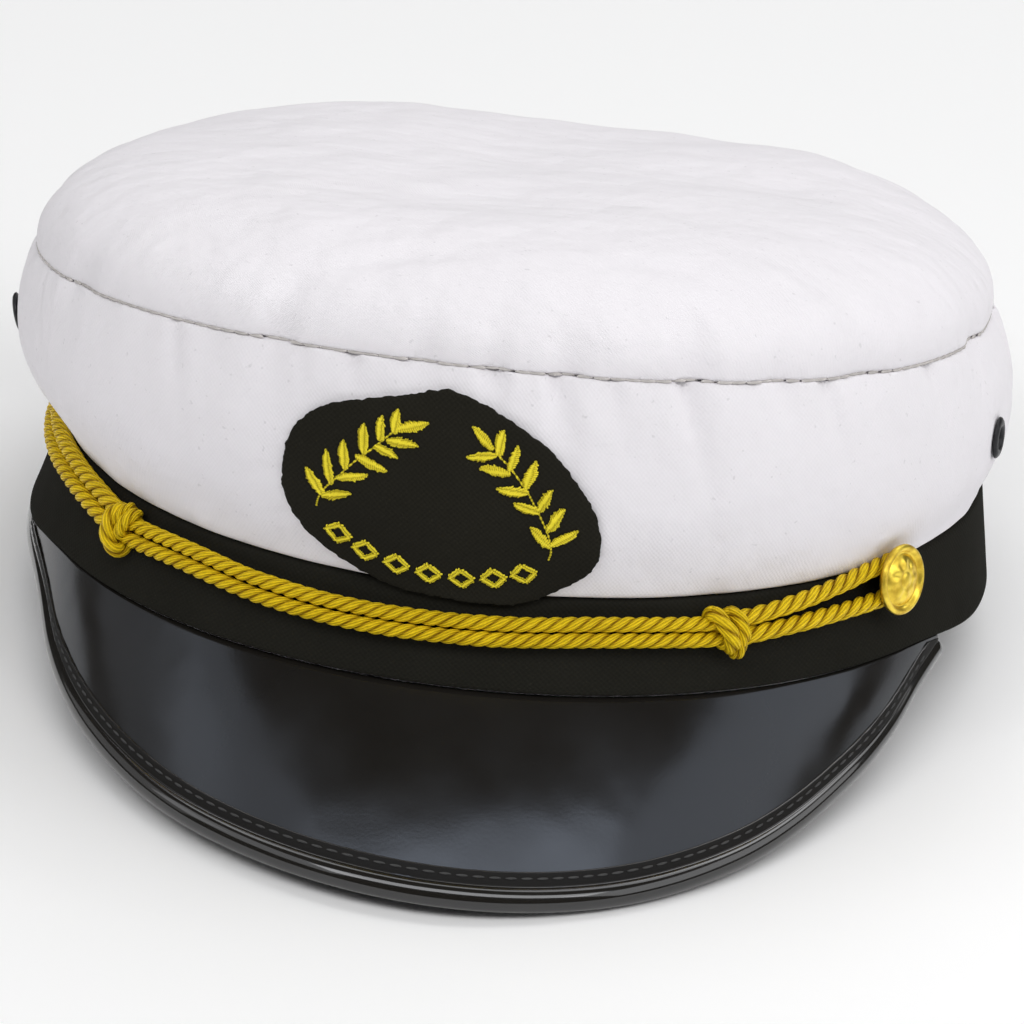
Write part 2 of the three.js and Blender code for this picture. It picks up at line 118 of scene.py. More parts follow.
def soft_noise(point: Vector, size: float, seed: float = 0.0) -> float:
    """Give smooth noise between about -1 and 1 whose lumps are of the given size."""
    return noise.noise(point / size + Vector((seed, -2 * seed, 3 * seed)))


def flat(x: float, y: float) -> Vector:
    """Give a point of a plane."""
    return Vector((x, y, 0))


@dataclass(frozen=True)
class Ripple:
    """Smooth unevenness: its depth, the size of its lumps and its seed."""

    depth: float
    size: float
    seed: float

    def at(self, p: Vector) -> float:
        """Give the unevenness at a point."""
        return self.depth * soft_noise(p, self.size, self.seed)


def rounded_edge(height: float, radius: float) -> float:
    """Tell how far a turned cloth edge draws in.

    Args:
        height: distance from the very edge, in millimetres.
        radius: radius of the turn.

    Returns:
        The inset: the whole radius at the edge and nothing beyond it.
    """
    if height >= radius:
        return 0.0
    away = 1 - max(height, 0.0) / radius
    return radius * (1 - sqrt(max(0.0, 1 - away * away)))


def spline_point(points: Sequence[Vector], t: float, closed: bool = False) -> Vector:
    """Give a point of a smooth curve through other points.

    Args:
        points: the points that the curve passes.
        t: place on the curve, from 0 to 1.
        closed: whether the curve runs back to its first point.

    Returns:
        The point.
    """
    count = len(points) if closed else len(points) - 1
    place = t * count
    i = math.floor(place) if closed else min(int(place), count - 1)
    w = place - i
    if closed:
        a, b, c, d = (points[k % count] for k in range(i - 1, i + 3))
    else:
        line = [2 * points[0] - points[1], *points, 2 * points[-1] - points[-2]]
        a, b, c, d = line[i : i + 4]
    pull_in, pull_out = (c - a) / 2, (d - b) / 2
    return (
        b
        + w * pull_in
        + w**2 * (3 * (c - b) - 2 * pull_in - pull_out)
        + w**3 * (2 * (b - c) + pull_in + pull_out)
    )


# --- The hat's form ---


@dataclass(frozen=True)
class Oval:
    """A head-shaped oval in plan."""

    half_width: float
    half_length: float
    squareness: float = 2.0
    x: float = 0.0
    y: float = 0.0

    def point(self, angle: float) -> Vector:
        """Give the oval's point at an angle.

        Args:
            angle: the angle, from the front.

        Returns:
            The point, at height 0.
        """
        s, c = sin(angle), cos(angle)
        k = (abs(s) ** self.squareness + abs(c) ** self.squareness) ** (-1 / self.squareness)
        return Vector((self.x + self.half_width * s * k, self.y - self.half_length * c * k, 0))

    def outward(self, angle: float) -> Vector:
        """Give the oval's outward normal at an angle."""
        along = self.point(angle + SMALL_STEP) - self.point(angle - SMALL_STEP)
        return Vector((along.y, -along.x, 0)).normalized()

    def towards(self, other: "Oval", share: float) -> "Oval":
        """Give the oval that lies a share of the way to another."""
        return Oval(*(lerp(a, b, share) for a, b in zip(astuple(self), astuple(other))))


@dataclass(frozen=True)
class Pucker:
    """A vertical pucker that hangs from the crown's seam."""

    degrees: float
    depth: float
    half_width: float
    reach: float


@dataclass(frozen=True)
class Dent:
    """A soft rise or hollow of the crown's top."""

    x: float
    y: float
    rise: float
    spread_x: float
    spread_y: float


@dataclass(frozen=True)
class PeakSection:
    """A section of the peak: its width along the slope, and how steeply it falls."""

    degrees: float
    width: float
    slope: float


@dataclass(frozen=True)
class HatForm:
    """The plain form of the hat's band, crown and peak, without folds."""

    band_height: float = 19.6
    band_wall: float = 2.2
    rim_rise: float = 3.0
    band_bottom: Oval = Oval(89.6, 98.0)
    band_top: Oval = Oval(85.4, 94.6, 2.0, 1.0)
    crown_wall: float = 2.0
    seam: Oval = Oval(86.8, 94.4, 2.28, -2.6)
    seam_middle: float = 50.4
    seam_rise_forward: float = 0.09
    seam_rise_left: float = 0.015
    puff: float = 18.6
    crest: float = 5.5  # how late the top turns down to the seam
    shoulder: float = 0.5  # how sharply it turns down there
    front_shoulder: float = 0.66
    overhang: float = 0.8  # how far the top hangs out over the seam
    peak_wall: float = 1.8
    root_inset: float = 1.7  # how far the peak's root lies inside the band
    bow: float = 1.4  # arch of a peak section that is bow_width wide
    bow_width: float = 40.0
    # The rim rises round this many degrees, fully up to the second and not at all from the third.
    rim_rise_span: tuple = (5, 58, 80)
    # The band draws in round this many degrees, up to so many degrees away.
    pinch_span: tuple = (-90, 52)
    pinch_depth: float = 1.9
    pinch_below: float = 0.35  # share of that depth at the lower rim
    swell_front: float = 4.5
    swell_back: float = 5.0
    swell_left: float = 4.4
    swell_right: float = 5.8
    # Exponents of the swell's curve up the side: the higher, the flatter at its foot.
    belly_ends: float = 1.05
    belly_sides: float = 1.5
    belly_above: float = 0.8
    belly_lean: float = 0.95
    puckers: tuple[Pucker, ...] = (
        Pucker(-48, 0.9, 4.5, 0.5), Pucker(-18, 1.6, 3.5, 0.55), Pucker(-1, 1.0, 3.0, 0.3),
        Pucker(7, 1.1, 2.6, 0.35), Pucker(15, 1.5, 3.0, 0.6), Pucker(29, 2.0, 3.4, 0.45),
        Pucker(39, 1.2, 3.2, 0.5), Pucker(51, 1.4, 4.5, 0.6), Pucker(78, 1.2, 5.0, 0.5),
        Pucker(118, 1.4, 6.0, 0.6), Pucker(155, 1.2, 6.0, 0.5), Pucker(-150, 1.4, 6.0, 0.6),
        Pucker(-115, 1.2, 6.0, 0.5), Pucker(-82, 1.0, 5.0, 0.5),
    )
    dents: tuple[Dent, ...] = (
        Dent(-46, 50, 1.4, 24, 30), Dent(44, 46, 2.2, 32, 30),
        Dent(-20, -38, -1.0, 24, 12),
    )
    peak_sections: tuple[PeakSection, ...] = (
        PeakSection(-80, 1.0, 90), PeakSection(-72, 2.6, 90), PeakSection(-66, 4.6, 88),
        PeakSection(-60, 7.6, 83), PeakSection(-50, 14.0, 73), PeakSection(-35, 21.9, 61),
        PeakSection(-17, 30.4, 51), PeakSection(3, 36.0, 45), PeakSection(18, 34.2, 49),
        PeakSection(33, 27.6, 56), PeakSection(48, 18.0, 66), PeakSection(58, 11.6, 74),
        PeakSection(65, 6.0, 81), PeakSection(71, 1.5, 87),
    )

    def rim_height(self, angle: float) -> float:
        """Give the height of the band's lower rim, which rises where the peak is sewn on."""
        middle, low, high = self.rim_rise_span
        return self.rim_rise * (1 - smoothstep(abs(degrees_past(angle, middle)), low, high))

    def pinch(self, angle: float, share: float) -> float:
        """Tell how far the band draws in at the wearer's right, most at its upper rim."""
        near = bell(degrees_past(angle, self.pinch_span[0]), self.pinch_span[1])
        return self.pinch_depth * near * lerp(self.pinch_below, 1.0, share)

    def band_point(self, angle: float, share: float, inset: float = 0.0) -> Vector:
        """Give a point of the band, from share 0 at its lower rim to 1 at its upper rim.

        Args:
            angle: angle round the hat.
            share: share of the band's height.
            inset: depth below the outer face.

        Returns:
            The point.
        """
        height = lerp(self.rim_height(angle), self.band_height, share)
        oval = self.band_bottom.towards(self.band_top, height / self.band_height)
        p = oval.point(angle) - oval.outward(angle) * (inset + self.pinch(angle, share))
        p.z = height
        return p

    def seam_height(self, x: float, y: float) -> float:
        """Give the height of the seam between the crown's top and side."""
        return self.seam_middle + self.seam_rise_left * x - self.seam_rise_forward * y

    def swell(self, angle: float) -> float:
        """Tell how far the crown's side swells out at an angle.

        Args:
            angle: angle round the hat.

        Returns:
            The swell in the middle of its height.
        """
        ends = lerp(self.swell_back, self.swell_front, (1 + cos(angle)) / 2)
        sides = lerp(self.swell_right, self.swell_left, (1 + sin(angle)) / 2)
        return lerp(sides, ends, cos(angle) ** 2)

    def pucker_depth(self, angle: float, share: float) -> float:
        """Tell how far the puckers draw the crown's side in.

        Args:
            angle: angle round the hat.
            share: share of the side's height.

        Returns:
            The depth.
        """
        depth = 0.0
        for p in self.puckers:
            across = bell(degrees_past(angle, p.degrees), p.half_width)
            depth += p.depth * across * max(0.0, 1 - (1 - share) / p.reach) ** 1.5
        return depth

    def side_point(self, angle: float, share: float, inset: float = 0.0) -> Vector:
        """Give a point of the crown's side, from share 0 at the band to 1 at the seam.

        Args:
            angle: angle round the hat.
            share: share of the side's height.
            inset: depth below the outer face.

        Returns:
            The point.
        """
        oval = self.band_top.towards(self.seam, share)
        below = lerp(self.belly_sides, self.belly_ends, cos(angle) ** 2)
        fullness = lerp(below, self.belly_above, smoothstep(share, 0.05, 0.5))
        belly = max(0.0, sin(pi * max(share, 0.0) ** self.belly_lean)) ** fullness
        out = self.swell(angle) * belly - self.pucker_depth(angle, share) - inset
        out -= self.pinch(angle, 1) * (1 - smoothstep(share, 0, 0.6))
        p = oval.point(angle) + oval.outward(angle) * out
        p.z = lerp(self.band_height + GAP, self.seam_height(p.x, p.y), share)
        return p

    def side_height(self, angle: float) -> float:
        """Give the height of the crown's side at an angle."""
        p = self.seam.point(angle)
        return self.seam_height(p.x, p.y) - self.band_height - GAP

    def lift(self, share: float, angle: float = pi) -> float:
        """Give the height share of the crown's top at a share of its radius, softer at the front."""
        shoulder = lerp(self.shoulder, self.front_shoulder, max(0.0, cos(angle)) ** 2)
        return max(0.0, 1 - share**self.crest) ** shoulder

    def top_point(self, angle: float, share: float, inset: float = 0.0) -> Vector:
        """Give a point of the crown's top, from share 0 in the middle to 1 at the seam.

        Args:
            angle: angle round the hat.
            share: share of the seam's radius.
            inset: depth below the outer face.

        Returns:
            The point.
        """
        lift = self.lift(share, angle)
        outward = self.seam.outward(angle)
        drawn_in = inset + self.pucker_depth(angle, 1) * share**12
        middle = flat(self.seam.x, self.seam.y)
        p = (self.seam.point(angle) - outward * drawn_in - middle) * share + middle
        p += outward * self.overhang * 4 * lift * (1 - lift) * share
        z = self.seam_height(p.x, p.y) + GAP + (self.puff - inset) * lift
        for d in self.dents:
            far = ((p.x - d.x) / d.spread_x) ** 2 + ((p.y - d.y) / d.spread_y) ** 2
            z += d.rise * exp(-far) * lift
        p.z = z
        return p

    def peak_section(self, angle: float) -> tuple[float, float]:
        """Give the peak's width and slope at an angle, by a cubic through its sections.

        Args:
            angle: angle round the hat.

        Returns:
            The width and the slope, in radians.
        """
        rows = self.peak_sections
        at = clamp(math.degrees(angle), rows[0].degrees, rows[-1].degrees)
        i = next(k for k in range(1, len(rows)) if at <= rows[k].degrees)
        low, high = rows[i - 1], rows[i]
        before = rows[i - 2] if i > 1 else high
        after = rows[i + 1] if i + 1 < len(rows) else low
        span = high.degrees - low.degrees
        t = (at - low.degrees) / span

        def blend(key: str) -> float:
            """Blend one column of the sections.

            Args:
                key: the column's name.

            Returns:
                Its value at the angle.
            """
            a, b, c, d = (getattr(row, key) for row in (before, low, high, after))
            m0 = (c - a) / (high.degrees - before.degrees) if before is not high else None
            m1 = (d - b) / (after.degrees - low.degrees) if after is not low else None
            chord = (c - b) / span
            m0 = chord * 1.5 - (m1 or chord) * 0.5 if m0 is None else m0
            m1 = chord * 1.5 - m0 * 0.5 if m1 is None else m1
            m0, m1 = m0 * span, m1 * span
            return (
                b + t * m0 + t**2 * (3 * (c - b) - 2 * m0 - m1) + t**3 * (2 * (b - c) + m0 + m1)
            )

        return blend("width"), radians(blend("slope"))

    def peak_point(self, angle: float, from_edge: float, offset: float = 0.0) -> Vector:
        """Give a point of the peak's middle surface, some way in from its edge and raised.

        Args:
            angle: angle round the hat.
            from_edge: distance in from the edge.
            offset: height above the middle surface.

        Returns:
            The point.
        """
        width, slope = self.peak_section(angle)
        full = width + self.root_inset
        along = full - from_edge
        out_plan = self.band_bottom.outward(angle)
        root = self.band_point(angle, 0, self.root_inset)
        lift = self.bow * full / self.bow_width * sin(pi * along / full) + offset
        out = along * cos(slope) + lift * sin(slope)
        drop = along * sin(slope) - lift * cos(slope) + GAP + self.peak_wall / 2 * cos(slope)
        return root + out_plan * out - Vector((0, 0, drop))

    def peak_angle(self, share: float) -> float:
        """Give the angle at a share of the peak's span, with the shares closer at its ends."""
        low, high = self.peak_sections[0].degrees, self.peak_sections[-1].degrees
        return radians(lerp(low, high, share - 0.5 * sin(2 * pi * share) / (2 * pi)))


FORM = HatForm()


def turn_at(u: float) -> float:
    """Give the angle at a share of the way round the hat, which starts at the back."""
    return 2 * pi * u - pi


def surface_normal(surface: Place, a: float, b: float) -> Vector:
    """Give the outward normal of a surface of two numbers.

    Args:
        surface: gives a point for two numbers.
        a: the first number.
        b: the second.

    Returns:
        The normal.
    """
    along_a = surface(a + SMALL_STEP, b) - surface(a - SMALL_STEP, b)
    along_b = surface(a, b + SMALL_STEP) - surface(a, b - SMALL_STEP)
    return along_a.cross(along_b).normalized()


# --- Making meshes ---


def new_mesh() -> BMesh:
    """Start a mesh with a layer for the pattern's place.

    Returns:
        The mesh.
    """
    bm = bmesh.new()
    bm.loops.layers.uv.new(PATTERN)
    return bm


def add_sheet(bm: BMesh, columns: int, rows: int, place: Place, unwrap: Unwrap) -> None:
    """Add a grid to a mesh, lay it on a surface and merge the points that meet.

    Args:
        bm: the mesh that gets the grid.
        columns: faces along u.
        rows: faces along v.
        place: gives the point at u and v, both from 0 to 1.
        unwrap: gives the pattern's place there, in millimetres.
    """
    layer = bm.loops.layers.uv[PATTERN]
    made = bmesh.ops.create_grid(bm, x_segments=columns, y_segments=rows, size=0.5)["verts"]
    for loop in (loop for vert in made for loop in vert.link_loops):
        loop[layer].uv = unwrap(loop.vert.co.x + 0.5, loop.vert.co.y + 0.5)
    for vert in made:
        vert.co = place(vert.co.x + 0.5, vert.co.y + 0.5)
    bmesh.ops.remove_doubles(bm, verts=made, dist=MERGE)


def add_rows(
    bm: BMesh, columns: int, rows: Sequence[tuple], place: Callable[..., Vector], unwrap: Callable[..., tuple]
) -> None:
    """Add a grid laid on a surface that is given row by row.

    Args:
        bm: the mesh that gets the grid.
        columns: faces along a row.
        rows: the numbers of each row of points.
        place: gives the point at u, from 0 to 1 along a row, and the row's numbers.
        unwrap: gives the pattern's place there, in millimetres.
    """
    last = len(rows) - 1

    def row_at(v: float) -> tuple:
        """Give the numbers of the row at v."""
        return rows[round(v * last)]

    add_sheet(bm, columns, last, lambda u, v: place(u, *row_at(v)), lambda u, v: unwrap(u, *row_at(v)))


def close_ends(bm: BMesh) -> None:
    """Close a mesh's open ends and turn its faces outwards.

    Args:
        bm: the mesh.
    """
    bmesh.ops.dissolve_degenerate(bm, dist=1e-5, edges=bm.edges)
    bmesh.ops.holes_fill(bm, edges=[e for e in bm.edges if e.is_boundary], sides=0)
    bmesh.ops.recalc_face_normals(bm, faces=bm.faces)


def finish_piece(bm: BMesh, name: str, finish: "Finish", *nodes: str) -> bpy.types.Object:
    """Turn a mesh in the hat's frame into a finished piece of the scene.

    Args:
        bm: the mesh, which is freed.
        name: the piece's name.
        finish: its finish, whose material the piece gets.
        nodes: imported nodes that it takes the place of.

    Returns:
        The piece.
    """
    bm.transform(MODEL_FROM_HAT)
    mesh = bpy.data.meshes.new(name)
    bm.to_mesh(mesh)
    bm.free()
    mesh.shade_smooth()
    mesh.materials.append(finish.material())
    piece = bpy.data.objects.new(name, mesh)
    bpy.context.scene.collection.objects.link(piece)
    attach(piece, "root")
    if nodes:
        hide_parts(*nodes)
    LOG.info("%s: %d faces", name, len(mesh.polygons))
    return piece


# --- Shader building ---


class Nodes:
    """Adds and links the nodes of one tree."""

    def __init__(self, tree: bpy.types.NodeTree) -> None:
        """Start on an empty tree."""
        self.tree = tree
        self.tree.nodes.clear()

    def add(self, kind: str, inputs: dict | None = None, **settings: object) -> bpy.types.Node:
        """Add a node.

        Args:
            kind: the node's type.
            inputs: a value, or an output to link, for each named or numbered input.
            settings: the node's own properties.

        Returns:
            The node.
        """
        node = self.tree.nodes.new(kind)
        for key, value in settings.items():
            setattr(node, key, value)
        self.fill(node, inputs or {})
        return node

    def fill(self, node: bpy.types.Node, inputs: dict) -> None:
        """Set or link a node's inputs.

        Args:
            node: the node.
            inputs: a value, or an output to link, for each named or numbered input.
        """
        for key, value in inputs.items():
            if isinstance(value, Socket):
                self.tree.links.new(value, node.inputs[key])
            else:
                node.inputs[key].default_value = value

    def math(self, operation: str, *values: object) -> Socket:
        """Add a sum of numbers or outputs and give its result."""
        return self.add("ShaderNodeMath", dict(enumerate(values)), operation=operation).outputs[0]

    def noise(self, vector: Socket, scale: object, detail: float = 2.0, rough: float = 0.5) -> Socket:
        """Add noise over a vector and give its value."""
        inputs = {"Vector": vector, "Scale": scale, "Detail": detail, "Roughness": rough}
        return self.add("ShaderNodeTexNoise", inputs).outputs[0]

    def stretched(self, vector: Socket, scale: tuple, turn: float = 0.0) -> Socket:
        """Scale and turn a vector and give the result."""
        inputs = {"Vector": vector, "Scale": scale, "Rotation": (0, 0, radians(turn))}
        return self.add("ShaderNodeMapping", inputs).outputs[0]

    def range(self, value: Socket, low: float, high: float, to_low: float, to_high: float) -> Socket:
        """Carry a value from one range to another, clamped, and give the result."""
        inputs = {"Value": value, "From Min": low, "From Max": high, "To Min": to_low, "To Max": to_high}
        return self.add("ShaderNodeMapRange", inputs).outputs[0]

    def mix(self, factor: object, a: object, b: object, blend: str = "MIX") -> Socket:
        """Mix two colours and give the result."""
        inputs = {0: factor, 6: a, 7: b}
        return self.add("ShaderNodeMix", inputs, data_type="RGBA", blend_type=blend).outputs[2]

    def group(self, kind: bpy.types.NodeTree, **values: object) -> bpy.types.Node:
        """Place a node group with its values."""
        return self.add("ShaderNodeGroup", values, node_tree=kind)

    def shaded(self, colour: tuple, shade: Socket) -> Socket:
        """Darken a colour by a shade and give the result."""
        grey = self.add("ShaderNodeCombineColor", {0: shade, 1: shade, 2: shade}).outputs[0]
        return self.mix(1.0, colour, grey, "MULTIPLY")

    def cloud(self, vector: Socket, scale: float, amount: float) -> Socket:
        """Place the cloudy shade and give its value."""
        return self.group(mottle_group(), Vector=vector, Scale=scale, Amount=amount).outputs["Shade"]

    def bump(self, height: Socket, depth: float, normal: Socket | None = None) -> Socket:
        """Add a bump of a height in metres and give its normal."""
        inputs, below = {"Height": height, "Distance": depth}, {} if normal is None else {"Normal": normal}
        return self.add("ShaderNodeBump", inputs | below).outputs[0]


def new_group(name: str, inputs: Sequence[str], outputs: Sequence[str]) -> tuple:
    """Start a shader node group.

    Args:
        name: the group's name.
        inputs: its number inputs, after its Vector.
        outputs: its number outputs.

    Returns:
        The group, its builder, its own inputs by name and its output node.
    """
    tree = bpy.data.node_groups.new(name, "ShaderNodeTree")
    tree.interface.new_socket("Vector", in_out="INPUT", socket_type="NodeSocketVector")
    for key in inputs:
        tree.interface.new_socket(key, in_out="INPUT", socket_type="NodeSocketFloat")
    for key in outputs:
        tree.interface.new_socket(key, in_out="OUTPUT", socket_type="NodeSocketFloat")
    nodes = Nodes(tree)
    return tree, nodes, nodes.add("NodeGroupInput").outputs, nodes.add("NodeGroupOutput")


@cache
def weave_group() -> bpy.types.NodeTree:
    """Build a plain weave: Threads a millimetre over a Vector in millimetres, to a Height.

    Returns:
        The group.
    """
    tree, n, given, out = new_group("plain_weave", ["Threads"], ["Height"])
    wobble = n.noise(given["Vector"], 0.6, 1.0)
    parts = n.add("ShaderNodeSeparateXYZ", {0: given["Vector"]})
    waves = []
    for axis in ("X", "Y"):
        turns = n.math("MULTIPLY", parts.outputs[axis], given["Threads"])
        turns = n.math("MULTIPLY", n.math("ADD", turns, wobble), pi)
        waves.append(n.math("SINE", turns))
    height = n.math("MULTIPLY_ADD", n.math("MULTIPLY", *waves), 0.5, 0.5)
    n.fill(out, {"Height": height})
    return tree


@cache
def thread_group() -> bpy.types.NodeTree:
    """Build slanted threads side by side: Threads a millimetre at a Slant, to a Height and a Shade that holds
    painted shade between the threads, down to Between.

    Returns:
        The group.
    """
    tree, n, given, out = new_group("laid_threads", ["Threads", "Slant", "Between"], ["Height", "Shade"])
    parts = n.add("ShaderNodeSeparateXYZ", {0: given["Vector"]})
    across = n.math("MULTIPLY_ADD", parts.outputs["X"], given["Slant"], parts.outputs["Y"])
    across = n.math("MULTIPLY_ADD", n.noise(given["Vector"], 0.9, 2.0), 0.25, across)
    turns = n.math("MULTIPLY", n.math("MULTIPLY", across, given["Threads"]), pi)
    height = n.math("ABSOLUTE", n.math("SINE", turns))
    fibres = n.noise(n.stretched(given["Vector"], (1.0, 6.0, 1.0), 30), 3.0, 3.0)
    # Painted shade: darker where the thread is low, between two threads.
    lit = n.range(height, 0, 0.7, 0.0, 1.0)
    deep = n.math("SUBTRACT", 1.0, given["Between"])
    shade = n.math("SUBTRACT", 1.0, n.math("MULTIPLY", n.math("SUBTRACT", 1.0, lit), deep))
    shade = n.math("MULTIPLY", shade, n.range(fibres, 0.3, 0.7, 0.8, 1.1))
    n.fill(out, {"Height": height, "Shade": shade})
    return tree


@cache
def mottle_group() -> bpy.types.NodeTree:
    """Build a soft cloudy shade round 1 for uneven dye or wear: Scale and Amount, to a Shade.

    Returns:
        The group.
    """
    tree, n, given, out = new_group("cloudy_shade", ["Scale", "Amount"], ["Shade"])
    cloud = n.noise(given["Vector"], given["Scale"], 4.0)
    centred = n.math("SUBTRACT", cloud, 0.5)
    n.fill(out, {"Shade": n.math("MULTIPLY_ADD", centred, given["Amount"], 1.0)})
    return tree


@dataclass(frozen=True)
class Finish:
    """A finish: its name and slot, and how its material is built."""

    name: str
    slot: Slot

    def material(self) -> bpy.types.Material:
        """Give the finish's material, built once.

        Returns:
            The material.
        """
        found = bpy.data.materials.get(self.name)
        if found:
            return found
        material = bpy.data.materials.new(self.name)
        material.use_nodes = True
        n = Nodes(material.node_tree)
        shader = n.add("ShaderNodeBsdfPrincipled", self.dress(n))
        n.add("ShaderNodeOutputMaterial", {"Surface": shader.outputs[0]}).is_active_output = True
        return material

    def dress(self, n: Nodes) -> dict:
        """Give the shader's inputs; each finish has its own way."""
        raise NotImplementedError


def uv_millimetres(n: Nodes) -> Socket:
    """Give the piece's own pattern place, in millimetres."""
    return n.add("ShaderNodeUVMap", uv_map=PATTERN).outputs[0]


def object_metres(n: Nodes) -> Socket:
    """Give the point's place in the model's frame, in metres."""
    return n.add("ShaderNodeTexCoord").outputs["Object"]


@dataclass(frozen=True)
class Cotton(Finish):
    """White cotton with slubs, faint handling marks and a fine weave."""

    colour: tuple = (0.875, 0.85, 0.885, 1)
    threads: float = 2.6
    cloud: tuple = (28.0, 0.07)  # scale and strength of the uneven shade
    # Depths of the relief, in metres.
    crumples: float = 0.0013
    pilling: float = 0.0001
    slubs: float = 0.00005
    weave: float = 0.00004

    def dress(self, n: Nodes) -> dict:
        """Give a rough white cloth with small slubs and creases.

        Args:
            n: the material's nodes.

        Returns:
            The shader's inputs.
        """
        uv, place = uv_millimetres(n), object_metres(n)
        weave = n.group(weave_group(), Vector=uv, Threads=self.threads).outputs["Height"]
        slub = n.range(n.noise(n.stretched(uv, (0.16, 1.1, 1.0)), 1.0, 3.0, 0.65), 0.66, 0.8, 0, 1)
        fleck = n.range(n.noise(place, 900.0, 1.0), 0.72, 0.78, 0, 1)
        shade = n.math("MULTIPLY", n.cloud(place, *self.cloud), n.range(weave, 0, 1, 0.97, 1.0))
        shade = n.math("SUBTRACT", shade, n.math("MULTIPLY", slub, 0.035))
        shade = n.math("SUBTRACT", shade, n.math("MULTIPLY", fleck, 0.12))
        relief = n.bump(n.noise(place, 95.0, 2.0, 0.5), self.crumples)
        relief = n.bump(n.noise(place, 620.0, 2.0, 0.6), self.pilling, relief)
        relief = n.bump(slub, self.slubs, relief)
        return {
            "Base Color": n.shaded(self.colour, shade),
            "Roughness": 0.88,
            "Specular IOR Level": 0.25,
            "Sheen Weight": 0.12,
            "Sheen Roughness": 0.5,
            "Normal": n.bump(weave, self.weave, relief),
        }


@dataclass(frozen=True)
class DarkCloth(Finish):
    """Matt cloth or thread, mostly black, with a soft nap and a little lint."""

    colour: tuple = (0.0165, 0.0160, 0.0128, 1)
    threads: float = 1.8
    nap: float = 0.00006  # depths of the relief, in metres
    sheen: float = 0.0
    weave: float = 0.00007
    cloud: tuple = (60.0, 0.5)  # scale and strength of the uneven shade

    def dress(self, n: Nodes) -> dict:
        """Give a cloth whose weave and nap only just show.

        Args:
            n: the material's nodes.

        Returns:
            The shader's inputs.
        """
        uv, place = uv_millimetres(n), object_metres(n)
        weave = n.group(weave_group(), Vector=uv, Threads=self.threads).outputs["Height"]
        lint = n.range(n.noise(place, 1500.0, 2.0), 0.7, 0.8, 0, 0.6)
        shade = n.math("MULTIPLY", n.cloud(place, *self.cloud), n.range(weave, 0, 1, 0.84, 1.08))
        fuzz = n.bump(n.noise(place, 2200.0, 2.0), self.nap)
        return {
            "Base Color": n.shaded(self.colour, n.math("ADD", shade, lint)),
            "Roughness": 0.95,
            "Specular IOR Level": 0.04,
            "Sheen Weight": self.sheen,
            "Sheen Roughness": 0.4,
            "Normal": n.bump(weave, self.weave, fuzz),
        }


@dataclass(frozen=True)
class Vinyl(Finish):
    """Glossy black vinyl with a fine grain, clouded gloss and hairline scuffs."""

    roughness: float = 0.2
    grain: float = 0.000008  # depths of the relief, in metres
    specular: float = 0.46
    matt: tuple = ()  # from where to where across the pattern, in millimetres, the gloss is dull
    waves: float = 0.00014
    dark: tuple = (0.013, 0.0115, 0.0095, 1)
    pale: tuple = (0.0155, 0.0138, 0.0115, 1)
    scuffed: tuple = (0.10, 0.10, 0.11, 1)

    def matt_strip(self, n: Nodes, gloss: Socket) -> dict:
        """Make a strip of the pattern dull and coat the rest.

        Args:
            n: the material's nodes.
            gloss: the roughness without the strip.

        Returns:
            The shader's inputs that this sets.
        """
        across = n.add("ShaderNodeSeparateXYZ", {0: uv_millimetres(n)}).outputs["Y"]
        low, high = self.matt
        after_low = n.range(across, low - 0.1, low + 0.1, 0, 1)
        strip = n.math("MULTIPLY", after_low, n.range(across, high - 0.1, high + 0.1, 1, 0))
        return {
            "Roughness": n.math("MULTIPLY_ADD", strip, 0.45, gloss),
            "Coat Weight": n.range(strip, 0, 1, 1, 0),
            "Coat Roughness": 0.06,
            "Coat IOR": 1.6,
        }

    def dress(self, n: Nodes) -> dict:
        """Give a black gloss that is clouded here and there.

        Args:
            n: the material's nodes.

        Returns:
            The shader's inputs.
        """
        place = object_metres(n)
        cloud = n.noise(place, 45.0, 3.0)
        scuff_line = n.noise(n.stretched(place, (300.0, 2600.0, 700.0), 25), 1.0, 4.0, 0.7)
        scuffs = n.range(scuff_line, 0.73, 0.8, 0, 1)
        gloss = n.range(cloud, 0.3, 0.7, self.roughness - 0.05, self.roughness + 0.07)
        gloss = n.math("ADD", gloss, n.math("MULTIPLY", scuffs, 0.2))
        tint = n.mix(n.range(cloud, 0.3, 0.7, 0, 1), self.dark, self.pale)
        waves = n.bump(n.noise(place, 60.0, 2.0), self.waves)
        inputs = {
            "Base Color": n.mix(n.math("MULTIPLY", scuffs, 0.35), tint, self.scuffed),
            "Roughness": gloss,
            "Specular IOR Level": self.specular,
            "Specular Tint": (0.72, 0.82, 1.0, 1),
            "Normal": n.bump(n.noise(place, 1600.0, 2.0), self.grain, waves),
        }
        return inputs | (self.matt_strip(n, gloss) if self.matt else {})


